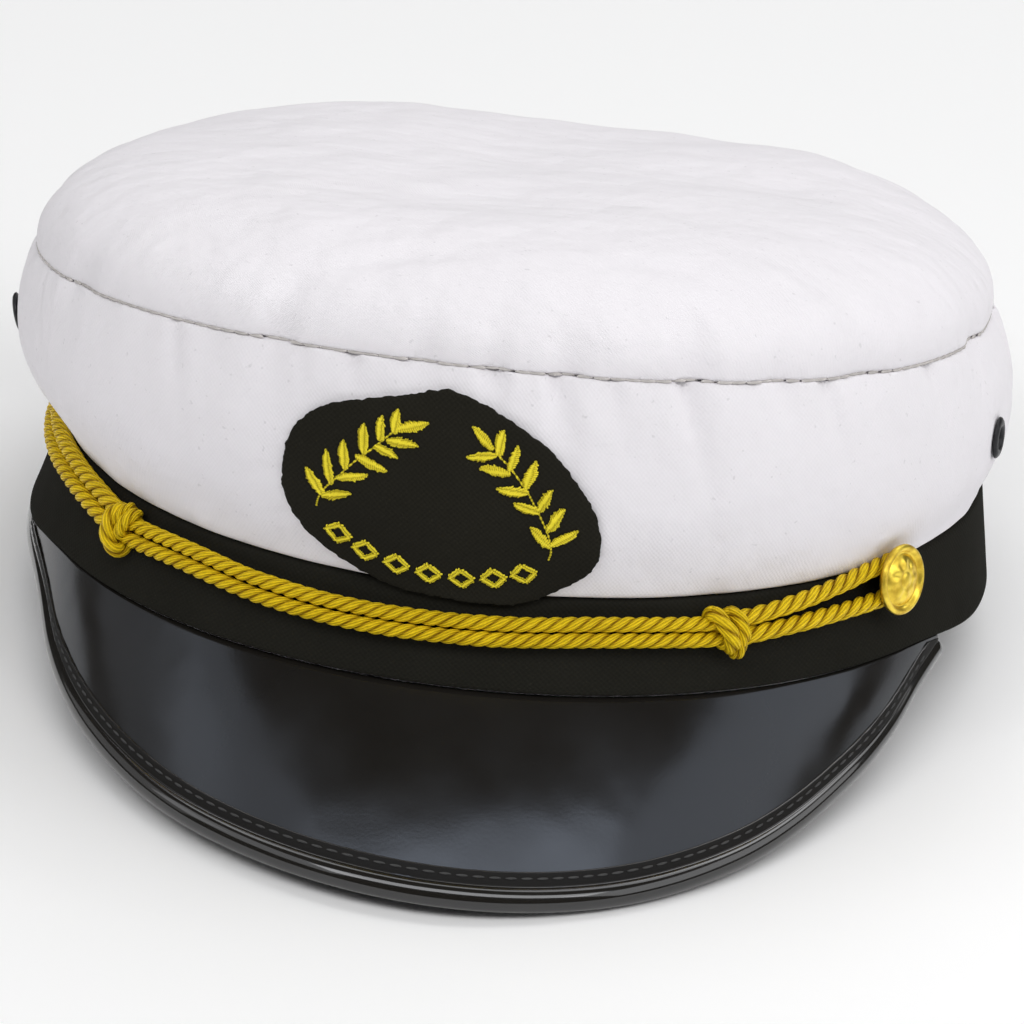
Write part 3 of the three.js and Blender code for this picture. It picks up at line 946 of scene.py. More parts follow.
@dataclass(frozen=True)
class GoldThread(Finish):
    """Golden yellow thread laid side by side, darker between the threads and on the sides of a rope's
    strands: painted shade.
    """

    colour: tuple = (0.97, 0.68, 0.012, 1)
    # Dark end of the colour: the painted shade in the grooves and on the strands' sides, and the random
    # darker tone.
    shadow: tuple = (0.30, 0.15, 0.001, 1)
    threads: float = 2.1
    slant: float = -0.34
    depth: float = 0.0002  # of the grooves between the threads, in metres
    between: float = 0.72  # painted shade between two threads
    strand: float = 0.7  # radius of the strand whose sides get painted shade, or 0 for none
    cloud: tuple = (260.0, 0.5)  # scale and strength of the uneven shade

    def dress(self, n: Nodes) -> dict:
        """Give yellow threads with a silky gloss.

        Args:
            n: the material's nodes.

        Returns:
            The shader's inputs.
        """
        uv, place = uv_millimetres(n), object_metres(n)
        laid = n.group(
            thread_group(), Vector=uv, Threads=self.threads, Slant=self.slant, Between=self.between
        )
        shade = n.math("MULTIPLY", laid.outputs["Shade"], n.cloud(place, *self.cloud))
        # Painted shade: the sides of each rope strand are darkened by their place round it.
        if self.strand:
            around = n.add("ShaderNodeSeparateXYZ", {0: uv}).outputs["Y"]
            facing = n.math("COSINE", n.math("DIVIDE", around, self.strand))
            shade = n.math("MULTIPLY", shade, n.range(facing, -0.1, 0.75, 0.35, 1.0))
        return {
            "Base Color": n.mix(n.range(shade, 0.35, 1.0, 0, 1), self.shadow, self.colour),
            "Roughness": n.range(laid.outputs["Height"], 0, 1, 0.7, 0.38),
            "Specular IOR Level": 0.35,
            "Specular Tint": (1.0, 0.9, 0.35, 1),
            "Normal": n.bump(laid.outputs["Height"], self.depth),
        }


@dataclass(frozen=True)
class Metal(Finish):
    """Pressed metal, worn and a little tarnished."""

    colour: tuple = (1.0, 0.76, 0.10, 1)
    tarnish: tuple = (0.48, 0.28, 0.02, 1)
    roughness: float = 0.3
    metallic: float = 1.0
    rubbing: float = 0.00002  # depth of the relief, in metres
    cloud: tuple = (420.0, 1.6)  # scale and strength of the tarnish

    def dress(self, n: Nodes) -> dict:
        """Give a metal with cloudy tarnish and fine rubbing.

        Args:
            n: the material's nodes.

        Returns:
            The shader's inputs.
        """
        place = object_metres(n)
        worn = n.range(n.cloud(place, *self.cloud), 0.75, 1.2, 0.25, 1.0)
        return {
            "Base Color": n.mix(worn, self.tarnish, self.colour),
            "Roughness": n.range(worn, 0.25, 1.0, self.roughness + 0.2, self.roughness),
            "Metallic": self.metallic,
            "Normal": n.bump(n.noise(place, 1800.0, 3.0), self.rubbing),
        }


COTTON = Cotton("woven_white_cotton", Slot.COTTON)
SEAM_THREAD = DarkCloth("grey_seam_thread", Slot.COTTON, (0.62, 0.59, 0.57, 1), 2.5)
BAND_CLOTH = DarkCloth("black_band_cloth", Slot.BAND)
PATCH_FELT = DarkCloth("black_patch_felt", Slot.PATCH, (0.0175, 0.0165, 0.0125, 1), 2.1, 0.00014, 0.03)
VINYL = Vinyl("black_gloss_vinyl", Slot.VINYL)
TAPE = Vinyl("black_binding_tape", Slot.TAPE, 0.2, 0.000006, 0.15, (0.7, 3.0))
TAPE_THREAD = DarkCloth("black_tape_thread", Slot.TAPE, (0.075, 0.075, 0.075, 1), 3.0)
ROPE = GoldThread("gold_rope", Slot.CORD)
EMBROIDERY = GoldThread(
    name="gold_embroidery",
    slot=Slot.PATCH,
    colour=(0.96, 0.81, 0.045, 1),
    shadow=(0.30, 0.22, 0.002, 1),
    threads=2.4,
    slant=0.35,
    depth=0.00016,
    between=0.45,
    strand=0.0,
)
GILT = Metal("gilt_metal", Slot.GILT)
DARK_METAL = Metal(
    "black_enamel_metal", Slot.EYELET, (0.03, 0.03, 0.033, 1), (0.012, 0.012, 0.014, 1), 0.32, 0.6
)


# --- Crown ---


@dataclass(frozen=True)
class Crease:
    """A soft line of the crown's top: its plan points, its depth and its width."""

    points: tuple
    depth: float
    width: float

    def depth_at(self, p: Vector) -> float:
        """Tell how deep the crease is at a point of the plan.

        Args:
            p: the point, in the hat's frame.

        Returns:
            The depth.
        """
        best = 0.0
        for i, (a, b) in enumerate(zip(self.points, self.points[1:])):
            ab, ap = Vector(b) - Vector(a), Vector((p.x, p.y)) - Vector(a)
            along = clamp(ap.dot(ab) / ab.length_squared)
            away = (ap - ab * along).length
            share = (i + along) / (len(self.points) - 1)
            fade = sin(pi * lerp(0.08, 0.92, share))
            best = max(best, exp(-((away / self.width) ** 2)) * fade)
        return self.depth * best


@cache
def top_shares(rings: int) -> tuple[float, ...]:
    """Space the rings of the crown's top, closer together where it turns down.

    Args:
        rings: how many there are round the middle.

    Returns:
        The middle's and each ring's radius as a share of the seam's.
    """
    steps, radius = 2000, 90.0
    lengths = [0.0]
    for i in range(1, steps + 1):
        rise = FORM.puff * (FORM.lift(i / steps) - FORM.lift((i - 1) / steps))
        lengths.append(lengths[-1] + hypot(radius / steps, rise))
    shares, i = [0.0], 1
    for ring in range(1, rings + 1):
        want = lengths[-1] * (1 - (1 - ring / rings) ** 1.35)
        while i < steps and lengths[i] < want:
            i += 1
        part = (want - lengths[i - 1]) / (lengths[i] - lengths[i - 1])
        shares.append((i - 1 + clamp(part)) / steps)
    return tuple(shares)


@dataclass
class Crown:
    """The soft cotton crown: its top, its side, and the seam thread between them."""

    turned_edge: float = 0.32
    hem: float = 0.7
    rings: int = 72
    around: int = 600
    side_row: float = 1.25
    cloth_size: tuple = (570, 33, 95)  # round the side, up it, and from the top's middle to its rim
    # Unevenness of the side, and how far the two at its edges reach.
    broad: Ripple = Ripple(0.75, 21, 1.3)
    small: Ripple = Ripple(0.2, 7.5, 4.1)
    gathers: Ripple = Ripple(0.8, 4.6, 7.7)
    gathers_reach: float = 5.5
    hem_waves: Ripple = Ripple(0.2, 7.5, 9.1)
    hem_reach: float = 4.0
    # Unevenness of the top.
    top_broad: Ripple = Ripple(0.9, 34, 2.2)
    top_middling: Ripple = Ripple(0.45, 14, 5.5)
    top_small: Ripple = Ripple(0.16, 6.5, 3.3)
    top_radial: Ripple = Ripple(0.32, 1.0, 8.8)
    radial_lumps: float = 22.0
    back_seam: tuple = (0.8, 0.7)  # depth, and half width in degrees
    # Middle and reach of the badge patch: degrees round the side and shares of its height.
    patch_middle: tuple = (1.5, 0.47)
    patch_reach: tuple = (20, 0.55)
    thread_count: int = 210
    thread_inset: float = 0.24
    thread_radius: float = 0.36
    nip_width: float = 0.9  # degrees
    nip_lean: float = 0.12  # degrees a millimetre
    lip: tuple = (0.5, 2.1, 1.3)  # rise beside a nip: share of its depth, degrees away, width
    nips: tuple = (  # sharp little folds under the seam: where, how deep, how long
        (-58, 0.9, 8), (-31, 1.0, 9), (-15, 0.8, 7), (-9, 1.1, 10), (-3, 0.9, 6),
        (7, 1.1, 7), (13.5, 1.6, 10), (20, 0.7, 6), (28, 1.6, 9), (36, 0.7, 7),
        (45, 1.1, 11), (63, 0.9, 8), (97, 0.8, 8), (138, 1.0, 8), (171, 0.8, 7),
        (-106, 0.9, 8), (-149, 1.0, 9),
    )
    creases: tuple[Crease, ...] = (
        Crease(((-31, -85), (-26, -83), (-19, -79), (-8, -74), (3, -74)), 0.7, 3.5),
        Crease(((27, -65), (36, -68), (46, -68), (53, -61), (60, -47)), 0.5, 3.5),
        Crease(((-24, -34), (-16, -27), (-8, -18), (3, -6)), -0.5, 4.0),
        Crease(((-63, -30), (-50, -12), (-30, 4)), -0.4, 6.0),
        Crease(((52, 30), (40, 8), (20, -4)), 0.5, 6.0),
        Crease(((30, 60), (4, 44), (-22, 48)), 0.5, 6.0),
    )

    def patch_cover(self, angle: float, share: float) -> float:
        """Tell how far the badge patch holds the cloth flat at a point of the side.

        Args:
            angle: angle round the hat.
            share: share of the side's height.

        Returns:
            1 under the patch and 0 well outside it.
        """
        across = (math.degrees(angle) - self.patch_middle[0]) / self.patch_reach[0]
        up = (share - self.patch_middle[1]) / self.patch_reach[1]
        return 1 - smoothstep(hypot(across, up), 0.85, 1.1)

    def side_fold(self, angle: float, share: float) -> float:
        """Give the small folds of the side, outwards in millimetres.

        Args:
            angle: angle round the hat.
            share: share of the side's height.

        Returns:
            How far the cloth stands out.
        """
        full = FORM.side_height(angle)
        height = full * share
        below = full - height
        p = FORM.band_top.point(angle)
        near_seam, near_band = exp(-below / self.gathers_reach), exp(-height / self.hem_reach)
        calm = (1 - 0.7 * near_seam) * (1 - 0.8 * near_band)
        fold = self.broad.at(Vector((p.x, p.y, 0.7 * height))) * calm
        fold += self.small.at(Vector((p.x, p.y, height)))
        fold += self.gathers.at(Vector((p.x, p.y, 0.2 * height))) * near_seam
        fold += self.hem_waves.at(p) * near_band
        lip_share, lip_away, lip_width = self.lip
        for turn, depth, length in self.nips:
            away = degrees_past(angle, turn + self.nip_lean * below)
            fold -= depth * exp(-((away / self.nip_width) ** 2) - below / length)
            rise = exp(-(((away - lip_away) / lip_width) ** 2) - below / length)
            fold += lip_share * depth * rise
        return fold * (1 - 0.9 * self.patch_cover(angle, share))

    def side_surface(self, u: float, share: float, inside: float) -> Vector:
        """Give a point of the side's cloth, with its turned edges and folds on the outside.

        Args:
            u: place round the hat, from 0 to 1.
            share: share of the side's height.
            inside: 1 for the inner face, or 0.

        Returns:
            The point.
        """
        angle = turn_at(u)
        if inside:
            return FORM.side_point(angle, share, FORM.crown_wall)
        full = FORM.side_height(angle)
        height = full * share
        inset = rounded_edge(full - height, self.turned_edge) + rounded_edge(height, self.hem)
        depth, half_width = self.back_seam
        inset += depth * bell(degrees_past(angle, 180), half_width)
        return FORM.side_point(angle, share, inset - self.side_fold(angle, share))

    def side_profile(self) -> list[tuple[float, float]]:
        """List the rows of the side's closed profile as shares and whether they are inside.

        Returns:
            The rows, and the first row once more.
        """
        full = FORM.side_height(0)
        edge = [0.0, 0.12, 0.35, 0.7, 1.2]
        count = round((full - 2 * edge[-1]) / self.side_row)
        middle = [lerp(edge[-1], full - edge[-1], i / count) for i in range(1, count)]
        heights = edge + middle + [full - h for h in reversed(edge)]
        inner_rows = 7
        rows = [(h / full, 0.0) for h in heights]
        rows += [(1 - i / inner_rows, 1.0) for i in range(inner_rows + 1)]
        return rows + [rows[0]]

    def make_side(self, holes: Sequence[Matrix]) -> None:
        """Make the side of the crown.

        Args:
            holes: frames of the vent holes that go through it.
        """

        def unwrap(u: float, share: float, inside: float) -> tuple:
            """Lay the weave round the crown's side."""
            return (self.cloth_size[0] * u, self.cloth_size[1] * share + APART * inside)

        bm = new_mesh()
        add_rows(bm, self.around, self.side_profile(), self.side_surface, unwrap)
        bmesh.ops.recalc_face_normals(bm, faces=bm.faces)
        side = finish_piece(bm, "cotton_side", COTTON, "crown_side")
        for hole in holes:
            cut_hole(side, hole, Eyelet.barrel)

    def top_fold(self, p: Vector, share: float, angle: float) -> float:
        """Give the folds of the top, upwards in millimetres.

        Args:
            p: the point, in the hat's frame.
            share: share of the seam's radius.
            angle: angle round the hat.

        Returns:
            How far the cloth stands up.
        """
        fold = (self.top_broad.at(p) + self.top_middling.at(p)) * (1 - smoothstep(share, 0.9, 1.0))
        spoke = flat(self.radial_lumps * sin(angle), self.radial_lumps * cos(angle))
        fold += self.top_small.at(p) + self.top_radial.at(spoke) * smoothstep(share, 0.8, 0.97)
        fold -= sum(crease.depth_at(p) for crease in self.creases)
        return fold * smoothstep(1 - share, 0.0, 0.01)

    def top_surface(self, a: float, b: float, inside: bool) -> Vector:
        """Give a point of the top for a point of a square from -1 to 1.

        Args:
            a: place across the square.
            b: place up the square.
            inside: whether it is on the inner face.

        Returns:
            The point.
        """
        reach = max(abs(a), abs(b))
        if reach < 1e-9:
            turn = 0.0
        elif abs(a) >= abs(b):
            turn = pi / 4 * b / a + (pi if a < 0 else 0)
        else:
            turn = pi / 2 - pi / 4 * a / b + (pi if b < 0 else 0)
        angle = atan2(cos(turn), -sin(turn))
        share = top_shares(self.rings)[min(round(reach * self.rings), self.rings)]
        if inside:
            return FORM.top_point(angle, share * 0.999, FORM.crown_wall)
        p = FORM.top_point(angle, share)
        inset = rounded_edge(FORM.puff * FORM.lift(share, angle), self.turned_edge)
        fold = self.top_fold(p, share, angle)
        return p - FORM.seam.outward(angle) * inset + Vector((0, 0, fold))

    def make_top(self) -> None:
        """Make the top of the crown: an outer and an inner sheet joined round the rim."""
        bm = new_mesh()
        layer = bm.loops.layers.uv[PATTERN]
        bmesh.ops.create_grid(bm, x_segments=2 * self.rings, y_segments=2 * self.rings, size=1.0)
        for face in bm.faces:
            for loop in face.loops:
                loop[layer].uv = loop.vert.co.xy * self.cloth_size[2]
        outer = list(bm.faces)
        copied = bmesh.ops.duplicate(bm, geom=outer)["geom"]
        inner = [f for f in copied if isinstance(f, bmesh.types.BMFace)]
        inner_verts = {v for f in inner for v in f.verts}
        for vert in bm.verts:
            vert.co = self.top_surface(vert.co.x, vert.co.y, vert in inner_verts)
        bmesh.ops.reverse_faces(bm, faces=inner)
        bmesh.ops.bridge_loops(bm, edges=[e for e in bm.edges if e.is_boundary])
        bmesh.ops.recalc_face_normals(bm, faces=bm.faces)
        finish_piece(bm, "cotton_top", COTTON, "crown_top")

    def make_seam(self) -> None:
        """Make the grey thread of the seam: small stitches that lie in its groove."""
        bm = new_mesh()
        chance = Random(11)
        half_stitch = 0.56
        for i in range(self.thread_count):
            angle = 2 * pi * (i + chance.uniform(-0.08, 0.08)) / self.thread_count
            inset = FORM.pucker_depth(angle, 1) + self.thread_inset
            ends = []
            for step in (-half_stitch, half_stitch):
                at = angle + 2 * pi * step / self.thread_count
                p = FORM.seam.point(at) - FORM.seam.outward(at) * inset
                p.z = FORM.seam_height(p.x, p.y) + GAP / 2 + chance.uniform(0.03, 0.13)
                ends.append(p)
            add_stitch(bm, *ends, FORM.seam.outward(angle), self.thread_radius)
        finish_piece(bm, "seam_thread", SEAM_THREAD)

    def build(self, holes: Sequence[Matrix]) -> None:
        """Make the crown's pieces.

        Args:
            holes: frames of the vent holes in its side.
        """
        self.make_side(holes)
        self.make_top()
        self.make_seam()


def add_stitch(bm: BMesh, start: Vector, end: Vector, out: Vector, radius: float) -> None:
    """Add one stitch as a small spindle.

    Args:
        bm: the mesh that gets it.
        start: where it begins.
        end: where it ends.
        out: the way it faces.
        radius: half its thickness.
    """
    along = end - start
    side = along.cross(out).normalized()
    up = side.cross(along).normalized()
    basis = Matrix((along / 2, side * radius, up * radius)).transposed().to_4x4()
    place = Matrix.Translation((start + end) / 2) @ basis
    turn = Matrix.Rotation(pi / 2, 4, "Y")
    bmesh.ops.create_uvsphere(bm, u_segments=7, v_segments=6, radius=1.0, matrix=place @ turn, calc_uvs=True)


def cut_hole(piece: bpy.types.Object, place: Matrix, radius: float) -> None:
    """Cut a round hole through a piece.

    Args:
        piece: the finished piece.
        place: the hole's frame in the hat's frame, with z along the hole.
        radius: the hole's radius.
    """
    bm = bmesh.new()
    bmesh.ops.create_cone(bm, cap_ends=True, segments=24, radius1=radius, radius2=radius, depth=12)
    bm.transform(MODEL_FROM_HAT @ place)
    mesh = bpy.data.meshes.new("drill")
    bm.to_mesh(mesh)
    bm.free()
    drill = bpy.data.objects.new("drill", mesh)
    bpy.context.scene.collection.objects.link(drill)
    cut = piece.modifiers.new("hole", "BOOLEAN")
    cut.operation = "DIFFERENCE"
    cut.solver = "EXACT"
    cut.object = drill
    bpy.context.view_layer.update()
    depsgraph = bpy.context.evaluated_depsgraph_get()
    holed = bpy.data.meshes.new_from_object(piece.evaluated_get(depsgraph))
    piece.modifiers.remove(cut)
    whole, piece.data = piece.data, holed
    bpy.data.meshes.remove(whole)
    holed.name = piece.name
    bpy.data.objects.remove(drill)
    bpy.data.meshes.remove(mesh)


# --- Band ---


@dataclass
class HeadBand:
    """The black cloth band, with its turned edges and a plain seam at the back."""

    around: int = 360
    edge: float = 0.7
    ripple: Ripple = Ripple(0.25, 13, 6.6)
    back_seam: tuple = (0.7, 0.6)  # depth, and half width in degrees
    cloth_size: tuple = (590, 20)  # round the band and up it

    def profile(self) -> list[tuple[float, float]]:
        """List the rows of the band's closed profile as height shares and insets.

        Returns:
            The rows, and the first row once more.
        """
        wall = FORM.band_wall
        outer = [0.0, 0.01, 0.025, 0.05, 0.12, 0.25, 0.4, 0.55, 0.7, 0.84, 0.93, 0.965, 0.985, 1.0]
        rows = [(s, 0.0) for s in outer] + [(s, wall) for s in (1.0, 0.97, 0.7, 0.4, 0.1, 0.03, 0.0)]
        return rows + [rows[0]]

    def surface(self, u: float, share: float, wall: float) -> Vector:
        """Give a point of the band's cloth.

        Args:
            u: place round the hat, from 0 to 1.
            share: share of the band's height.
            wall: depth of the inner face, or 0 for the outer.

        Returns:
            The point.
        """
        angle = turn_at(u)
        height = FORM.band_height - FORM.rim_height(angle)
        up = share * height
        turn = rounded_edge(up, self.edge) + rounded_edge(height - up, self.edge)
        if wall:
            return FORM.band_point(angle, share, wall - turn)
        p = FORM.band_point(angle, share)
        ripple = self.ripple.at(Vector((p.x, p.y, 0.6 * p.z)))
        ripple *= smoothstep(share, 0.0, 0.2) * smoothstep(1 - share, 0.0, 0.2)
        depth, half_width = self.back_seam
        seam = depth * bell(degrees_past(angle, 180), half_width)
        return FORM.band_point(angle, share, turn + seam + abs(ripple))

    def build(self) -> None:
        """Make the band."""

        def unwrap(u: float, share: float, wall: float) -> tuple:
            """Lay the weave round the band."""
            return (self.cloth_size[0] * u, self.cloth_size[1] * share + APART / 2 * wall)

        bm = new_mesh()
        add_rows(bm, self.around, self.profile(), self.surface, unwrap)
        bmesh.ops.recalc_face_normals(bm, faces=bm.faces)
        finish_piece(bm, "band_cloth", BAND_CLOTH, "head_band")


# --- Peak ---


@dataclass
class Peak:
    """The glossy peak and the stitched tape folded round its edge."""

    around: int = 220
    top_rows: int = 26
    under_rows: int = 10
    tape_around: int = 260
    sheet_waves: tuple = (Ripple(0.10, 17, 12.5), Ripple(0.05, 7, 3.5))
    tape_waves: Ripple = Ripple(0.06, 9, 1.5)
    lip_waves: Ripple = Ripple(0.12, 1.5, 6.0)
    lip_edge: float = 4.6
    root_clear: float = 0.6  # how far the tape's end stays from the sheet's root
    stitch: float = 2.6  # length of a stitch and the gap behind it
    stitch_share: float = 0.74
    stitch_line: tuple = (3.5, 1.16)  # how far in from the peak's edge, and the height there
    stitch_radius: float = 0.24
    # Inner edge and underside of the tape: how far in from the peak's edge, and the height there.
    tape_lip: tuple = (
        (4.75, 0.88), (4.72, 1.08), (4.50, 1.22), (4.15, 1.18), (3.80, 1.13),
        (3.40, 1.10), (3.00, 1.07), (2.65, 1.03), (2.40, 0.96),
    )
    tape_under: tuple = (
        (1.00, -1.80), (2.60, -1.45), (4.10, -1.42), (4.30, -1.20), (4.25, -0.98), (1.50, -0.97),
        (-0.40, -0.95), (-0.75, 0.00), (-0.40, 0.95), (1.50, 0.88), (4.75, 0.88),
    )
    welt: tuple = (0.25, 2.15, 1.85)  # middle, half width and half height of the round edge

    @property
    def tape_section(self) -> tuple:
        """Give the tape's closed section: its flat lip, its round welt and its underside.

        Returns:
            How far in from the peak's edge and how high each point is.
        """
        turns = [radians(turn) for turn in range(30, 271, 12)]
        middle, half, high = self.welt
        welt = [(middle + half * cos(t), high * sin(t)) for t in turns]
        return self.tape_lip + tuple(welt) + self.tape_under

    def sheet_surface(self, u: float, inward: float, side: float) -> Vector:
        """Give a point of the vinyl sheet: inward from 0 at its edge to 1 at its root.

        Args:
            u: place along the peak, from 0 to 1.
            inward: share of the way to the root.
            side: 1 for the upper face, -1 for the lower.

        Returns:
            The point.
        """
        angle = FORM.peak_angle(u)
        full = FORM.peak_section(angle)[0] + FORM.root_inset
        p = FORM.peak_point(angle, full * inward)
        wave = sum(ripple.at(p) for ripple in self.sheet_waves)
        return FORM.peak_point(angle, full * inward, side * FORM.peak_wall / 2 + wave)

    def make_sheet(self) -> None:
        """Make the vinyl sheet as one closed skin."""
        rows = [(1 - i / self.top_rows, 1.0) for i in range(self.top_rows + 1)]
        rows += [(i / self.under_rows, -1.0) for i in range(self.under_rows + 1)]
        rows.append(rows[0])

        def unwrap(u: float, inward: float, side: float) -> tuple:
            """Lay the pattern over the peak."""
            return (230 * u, 38 * inward + 50 * side)

        bm = new_mesh()
        add_rows(bm, self.around, rows, self.sheet_surface, unwrap)
        close_ends(bm)
        finish_piece(bm, "vinyl_peak", VINYL, "peak")

    def tape_point(self, angle: float, inward: float, offset: float) -> Vector:
        """Give a point of the tape's section, cut off where the band covers it.

        Args:
            angle: angle round the hat.
            inward: distance in from the peak's edge.
            offset: height above the peak's middle surface.

        Returns:
            The point.
        """
        limit = FORM.peak_section(angle)[0] + FORM.root_inset - self.root_clear
        if inward > limit:
            inward, offset = limit, self.cover(limit) if offset > FORM.peak_wall / 2 + 0.1 else offset
        if inward > 0:
            return FORM.peak_point(angle, inward, offset)
        rim = FORM.peak_point(angle, 0, offset)
        outward = (FORM.peak_point(angle, 0) - FORM.peak_point(angle, 1)).normalized()
        return rim - outward * inward

    def cover(self, inward: float) -> float:
        """Give the height of the tape's upper face some way in from the peak's edge.

        Args:
            inward: distance in from the peak's edge.

        Returns:
            The height above the peak's middle surface.
        """
        top = self.tape_section[2:17]
        for (a, high), (b, low) in zip(top, top[1:]):
            if b <= inward <= a:
                return lerp(low, high, (inward - b) / (a - b))
        return top[0][1]

    def make_tape(self) -> None:
        """Make the folded tape."""
        section = self.tape_section
        last = len(section) - 1

        def place(u: float, v: float) -> Vector:
            """Lay the grid round the peak's edge.

            Args:
                u: place along the tape.
                v: place round its section.

            Returns:
                The point.
            """
            angle = FORM.peak_angle(u)
            inward, offset = section[round(v * last)]
            p = FORM.peak_point(angle, 2.0)
            wave = self.tape_waves.at(p) if offset > FORM.peak_wall / 2 else 0.0
            wave += self.lip_waves.at(p) * bell(inward - self.lip_edge, 0.5)
            return self.tape_point(angle, inward, offset + wave)

        def unwrap(u: float, v: float) -> tuple:
            """Lay the grain along the tape."""
            return (250 * u, 14 * v)

        bm = new_mesh()
        add_sheet(bm, self.tape_around, last, place, unwrap)
        close_ends(bm)
        finish_piece(bm, "binding_tape", TAPE, "peak_binding")

    def make_stitches(self) -> None:
        """Make the row of stitches that holds the tape."""
        bm = new_mesh()
        steps = 1200
        inward, height = self.stitch_line
        angles = [FORM.peak_angle(lerp(0.03, 0.97, i / steps)) for i in range(steps + 1)]
        line = [self.tape_point(angle, inward, height) for angle in angles]
        run, start = 0.0, 0
        for i in range(1, steps + 1):
            run += (line[i] - line[i - 1]).length
            if run < self.stitch:
                continue
            end = start + max(1, round((i - start) * self.stitch_share))
            up = (self.tape_point(angles[start], inward, 2 * height) - line[start]).normalized()
            add_stitch(bm, line[start], line[end], up, self.stitch_radius)
            run, start = 0.0, i
        finish_piece(bm, "tape_stitches", TAPE_THREAD)

    def build(self) -> None:
        """Make the peak's pieces."""
        self.make_sheet()
        self.make_tape()
        self.make_stitches()


# --- Badge patch ---


@dataclass
class BadgePatch:
    """The felt patch with two laurel sprigs and a row of stitched lozenges."""

    middle: float = 1.5  # degrees round the crown
    height: float = 38.0
    wall: float = 1.0
    clear: float = 0.35  # gap to the crown
    low_lift: float = 0.5  # how far it stands off more at the crown's foot, where the band is near
    rings: int = 26
    around: int = 300
    ragged: tuple = (Ripple(0.26, 1.7, 5.0), Ripple(0.26, 0.8, 2.0))
    fluff: Ripple = Ripple(0.05, 2.5, 8.0)
    rim_drop: float = 0.25
    # Outline from the patch's middle: sideways and up.
    outline: tuple = (
        (25.6, -7.0), (24.4, -1.0), (20.0, 6.0), (14.5, 11.2), (8.2, 14.6),
        (1.6, 17.0), (-4.0, 15.7), (-12.0, 14.0), (-18.2, 12.2), (-22.4, 9.4),
        (-25.0, 5.0), (-26.0, -2.0), (-24.6, -8.0), (-20.0, -13.3), (-11.0, -18.0),
        (0.0, -19.3), (12.0, -19.2), (20.5, -15.3), (24.6, -11.6),
    )
    right_stem: tuple = (
        (-20.2, -5.5), (-19.7, -3.8), (-18.4, -1.8), (-16.5, 0.2),
        (-13.7, 3.3), (-10.3, 6.4), (-7.6, 9.1),
    )
    left_stem: tuple = (
        (17.3, -10.0), (17.7, -8.2), (17.2, -5.4), (16.0, -2.4),
        (14.9, -0.1), (13.8, 2.0), (11.3, 5.5), (8.9, 7.8),
    )
    # Leaves: foot sideways and up, then tip sideways and up.
    leaves: tuple = (
        (-19.1, -3.1, -21.5, 0.9), (-18.9, -3.3, -14.4, -2.3), (-17.6, -1.0, -18.3, 4.5),
        (-16.3, 0.1, -11.6, 1.4), (-15.3, 2.0, -15.5, 6.5), (-13.3, 4.2, -8.5, 2.6),
        (-12.3, 5.1, -12.3, 9.7), (-10.2, 6.5, -6.8, 5.0), (-9.7, 7.7, -9.4, 11.4),
        (-8.3, 7.7, -3.5, 7.4), (-7.4, 9.2, -6.9, 12.7), (-7.1, 9.5, -1.9, 11.2),
        (17.8, -7.1, 21.7, -4.3), (17.4, -7.3, 14.5, -4.3), (17.1, -4.4, 19.6, -0.8),
        (15.6, -1.6, 12.0, -0.3), (15.7, -1.1, 17.7, 2.3), (13.8, 1.5, 9.3, 1.9),
        (13.8, 2.5, 15.2, 6.9), (11.1, 4.7, 6.7, 4.9), (11.3, 5.2, 12.5, 9.1),
        (9.0, 7.2, 4.6, 6.6), (9.3, 7.6, 10.3, 11.3), (8.5, 8.4, 5.3, 11.4),
    )
    # Middles of the lozenges: sideways and up.
    lozenges: tuple = (
        (-16.9, -9.7), (-12.6, -12.2), (-7.5, -13.9), (-2.2, -14.8),
        (3.2, -15.0), (8.5, -14.3), (13.4, -12.9),
    )
    lozenge_half: tuple = (1.95, 1.6)
    lozenge_lean: float = 0.016  # radians a millimetre from the middle
    line_half: float = 0.56  # half width of a lozenge's line
    leaf_half_width: float = 1.14
    leaf_slants: tuple = (-0.75, -0.6, 0.6, 0.75)
    stitch_gap: float = 0.34
    running_stitch: float = 0.75

    def share_at(self, up: float) -> float:
        """Give the crown side's share at a height on the patch."""
        full = FORM.seam_height(0, -FORM.seam.half_length) - FORM.band_height
        return (self.height + up - FORM.band_height) / full

    def surface(self, across: float, up: float, lift: float) -> Vector:
        """Give a point that stands some way off the crown, by its place on the patch.

        Args:
            across: place across the patch.
            up: place up the patch.
            lift: height above the patch's back.

        Returns:
            The point.
        """
        angle = radians(self.middle) + across / FORM.band_top.half_width
        share = self.share_at(up)
        normal = surface_normal(FORM.side_point, angle, max(share, 0.03))
        stand = self.clear + lift + self.low_lift * smoothstep(0.05 - share, 0.0, 0.1)
        return FORM.side_point(angle, share) + normal * stand

    def rim_point(self, u: float) -> Vector:
        """Give a point of the patch's outline."""
        return spline_point([flat(*spot) for spot in self.outline], u % 1.0, closed=True)

    def felt_surface(self, u: float, share: float, front: float) -> Vector:
        """Give a point of the felt, whose edge is a little ragged.

        Args:
            u: place round the patch, from 0 to 1.
            share: place from 0 in the middle to 1 at the edge.
            front: place from 0 at the back to 1 at the front.

        Returns:
            The point.
        """
        p = self.rim_point(u)
        ragged = sum(ripple.at(p) for ripple in self.ragged)
        edge = rounded_edge(self.wall * min(front, 1 - front) * 2 + 0.12, 0.5) if share > 0.999 else 0.0
        p = p * share * (1 + (ragged * share**8 - edge * 0.6) / p.length)
        fluff = self.fluff.at(p) * front
        drop = self.rim_drop * front * smoothstep(share, 0.96, 1.0)
        return self.surface(p.x, p.y, front * self.wall + fluff - drop)

    def make_felt(self) -> None:
        """Make the felt patch."""
        shares = [sin(i / self.rings * pi / 2) for i in range(self.rings + 1)]
        rows = [(s, 0.0) for s in shares] + [(1.0, 0.35), (1.0, 0.7)]
        rows += [(s, 1.0) for s in reversed(shares)]

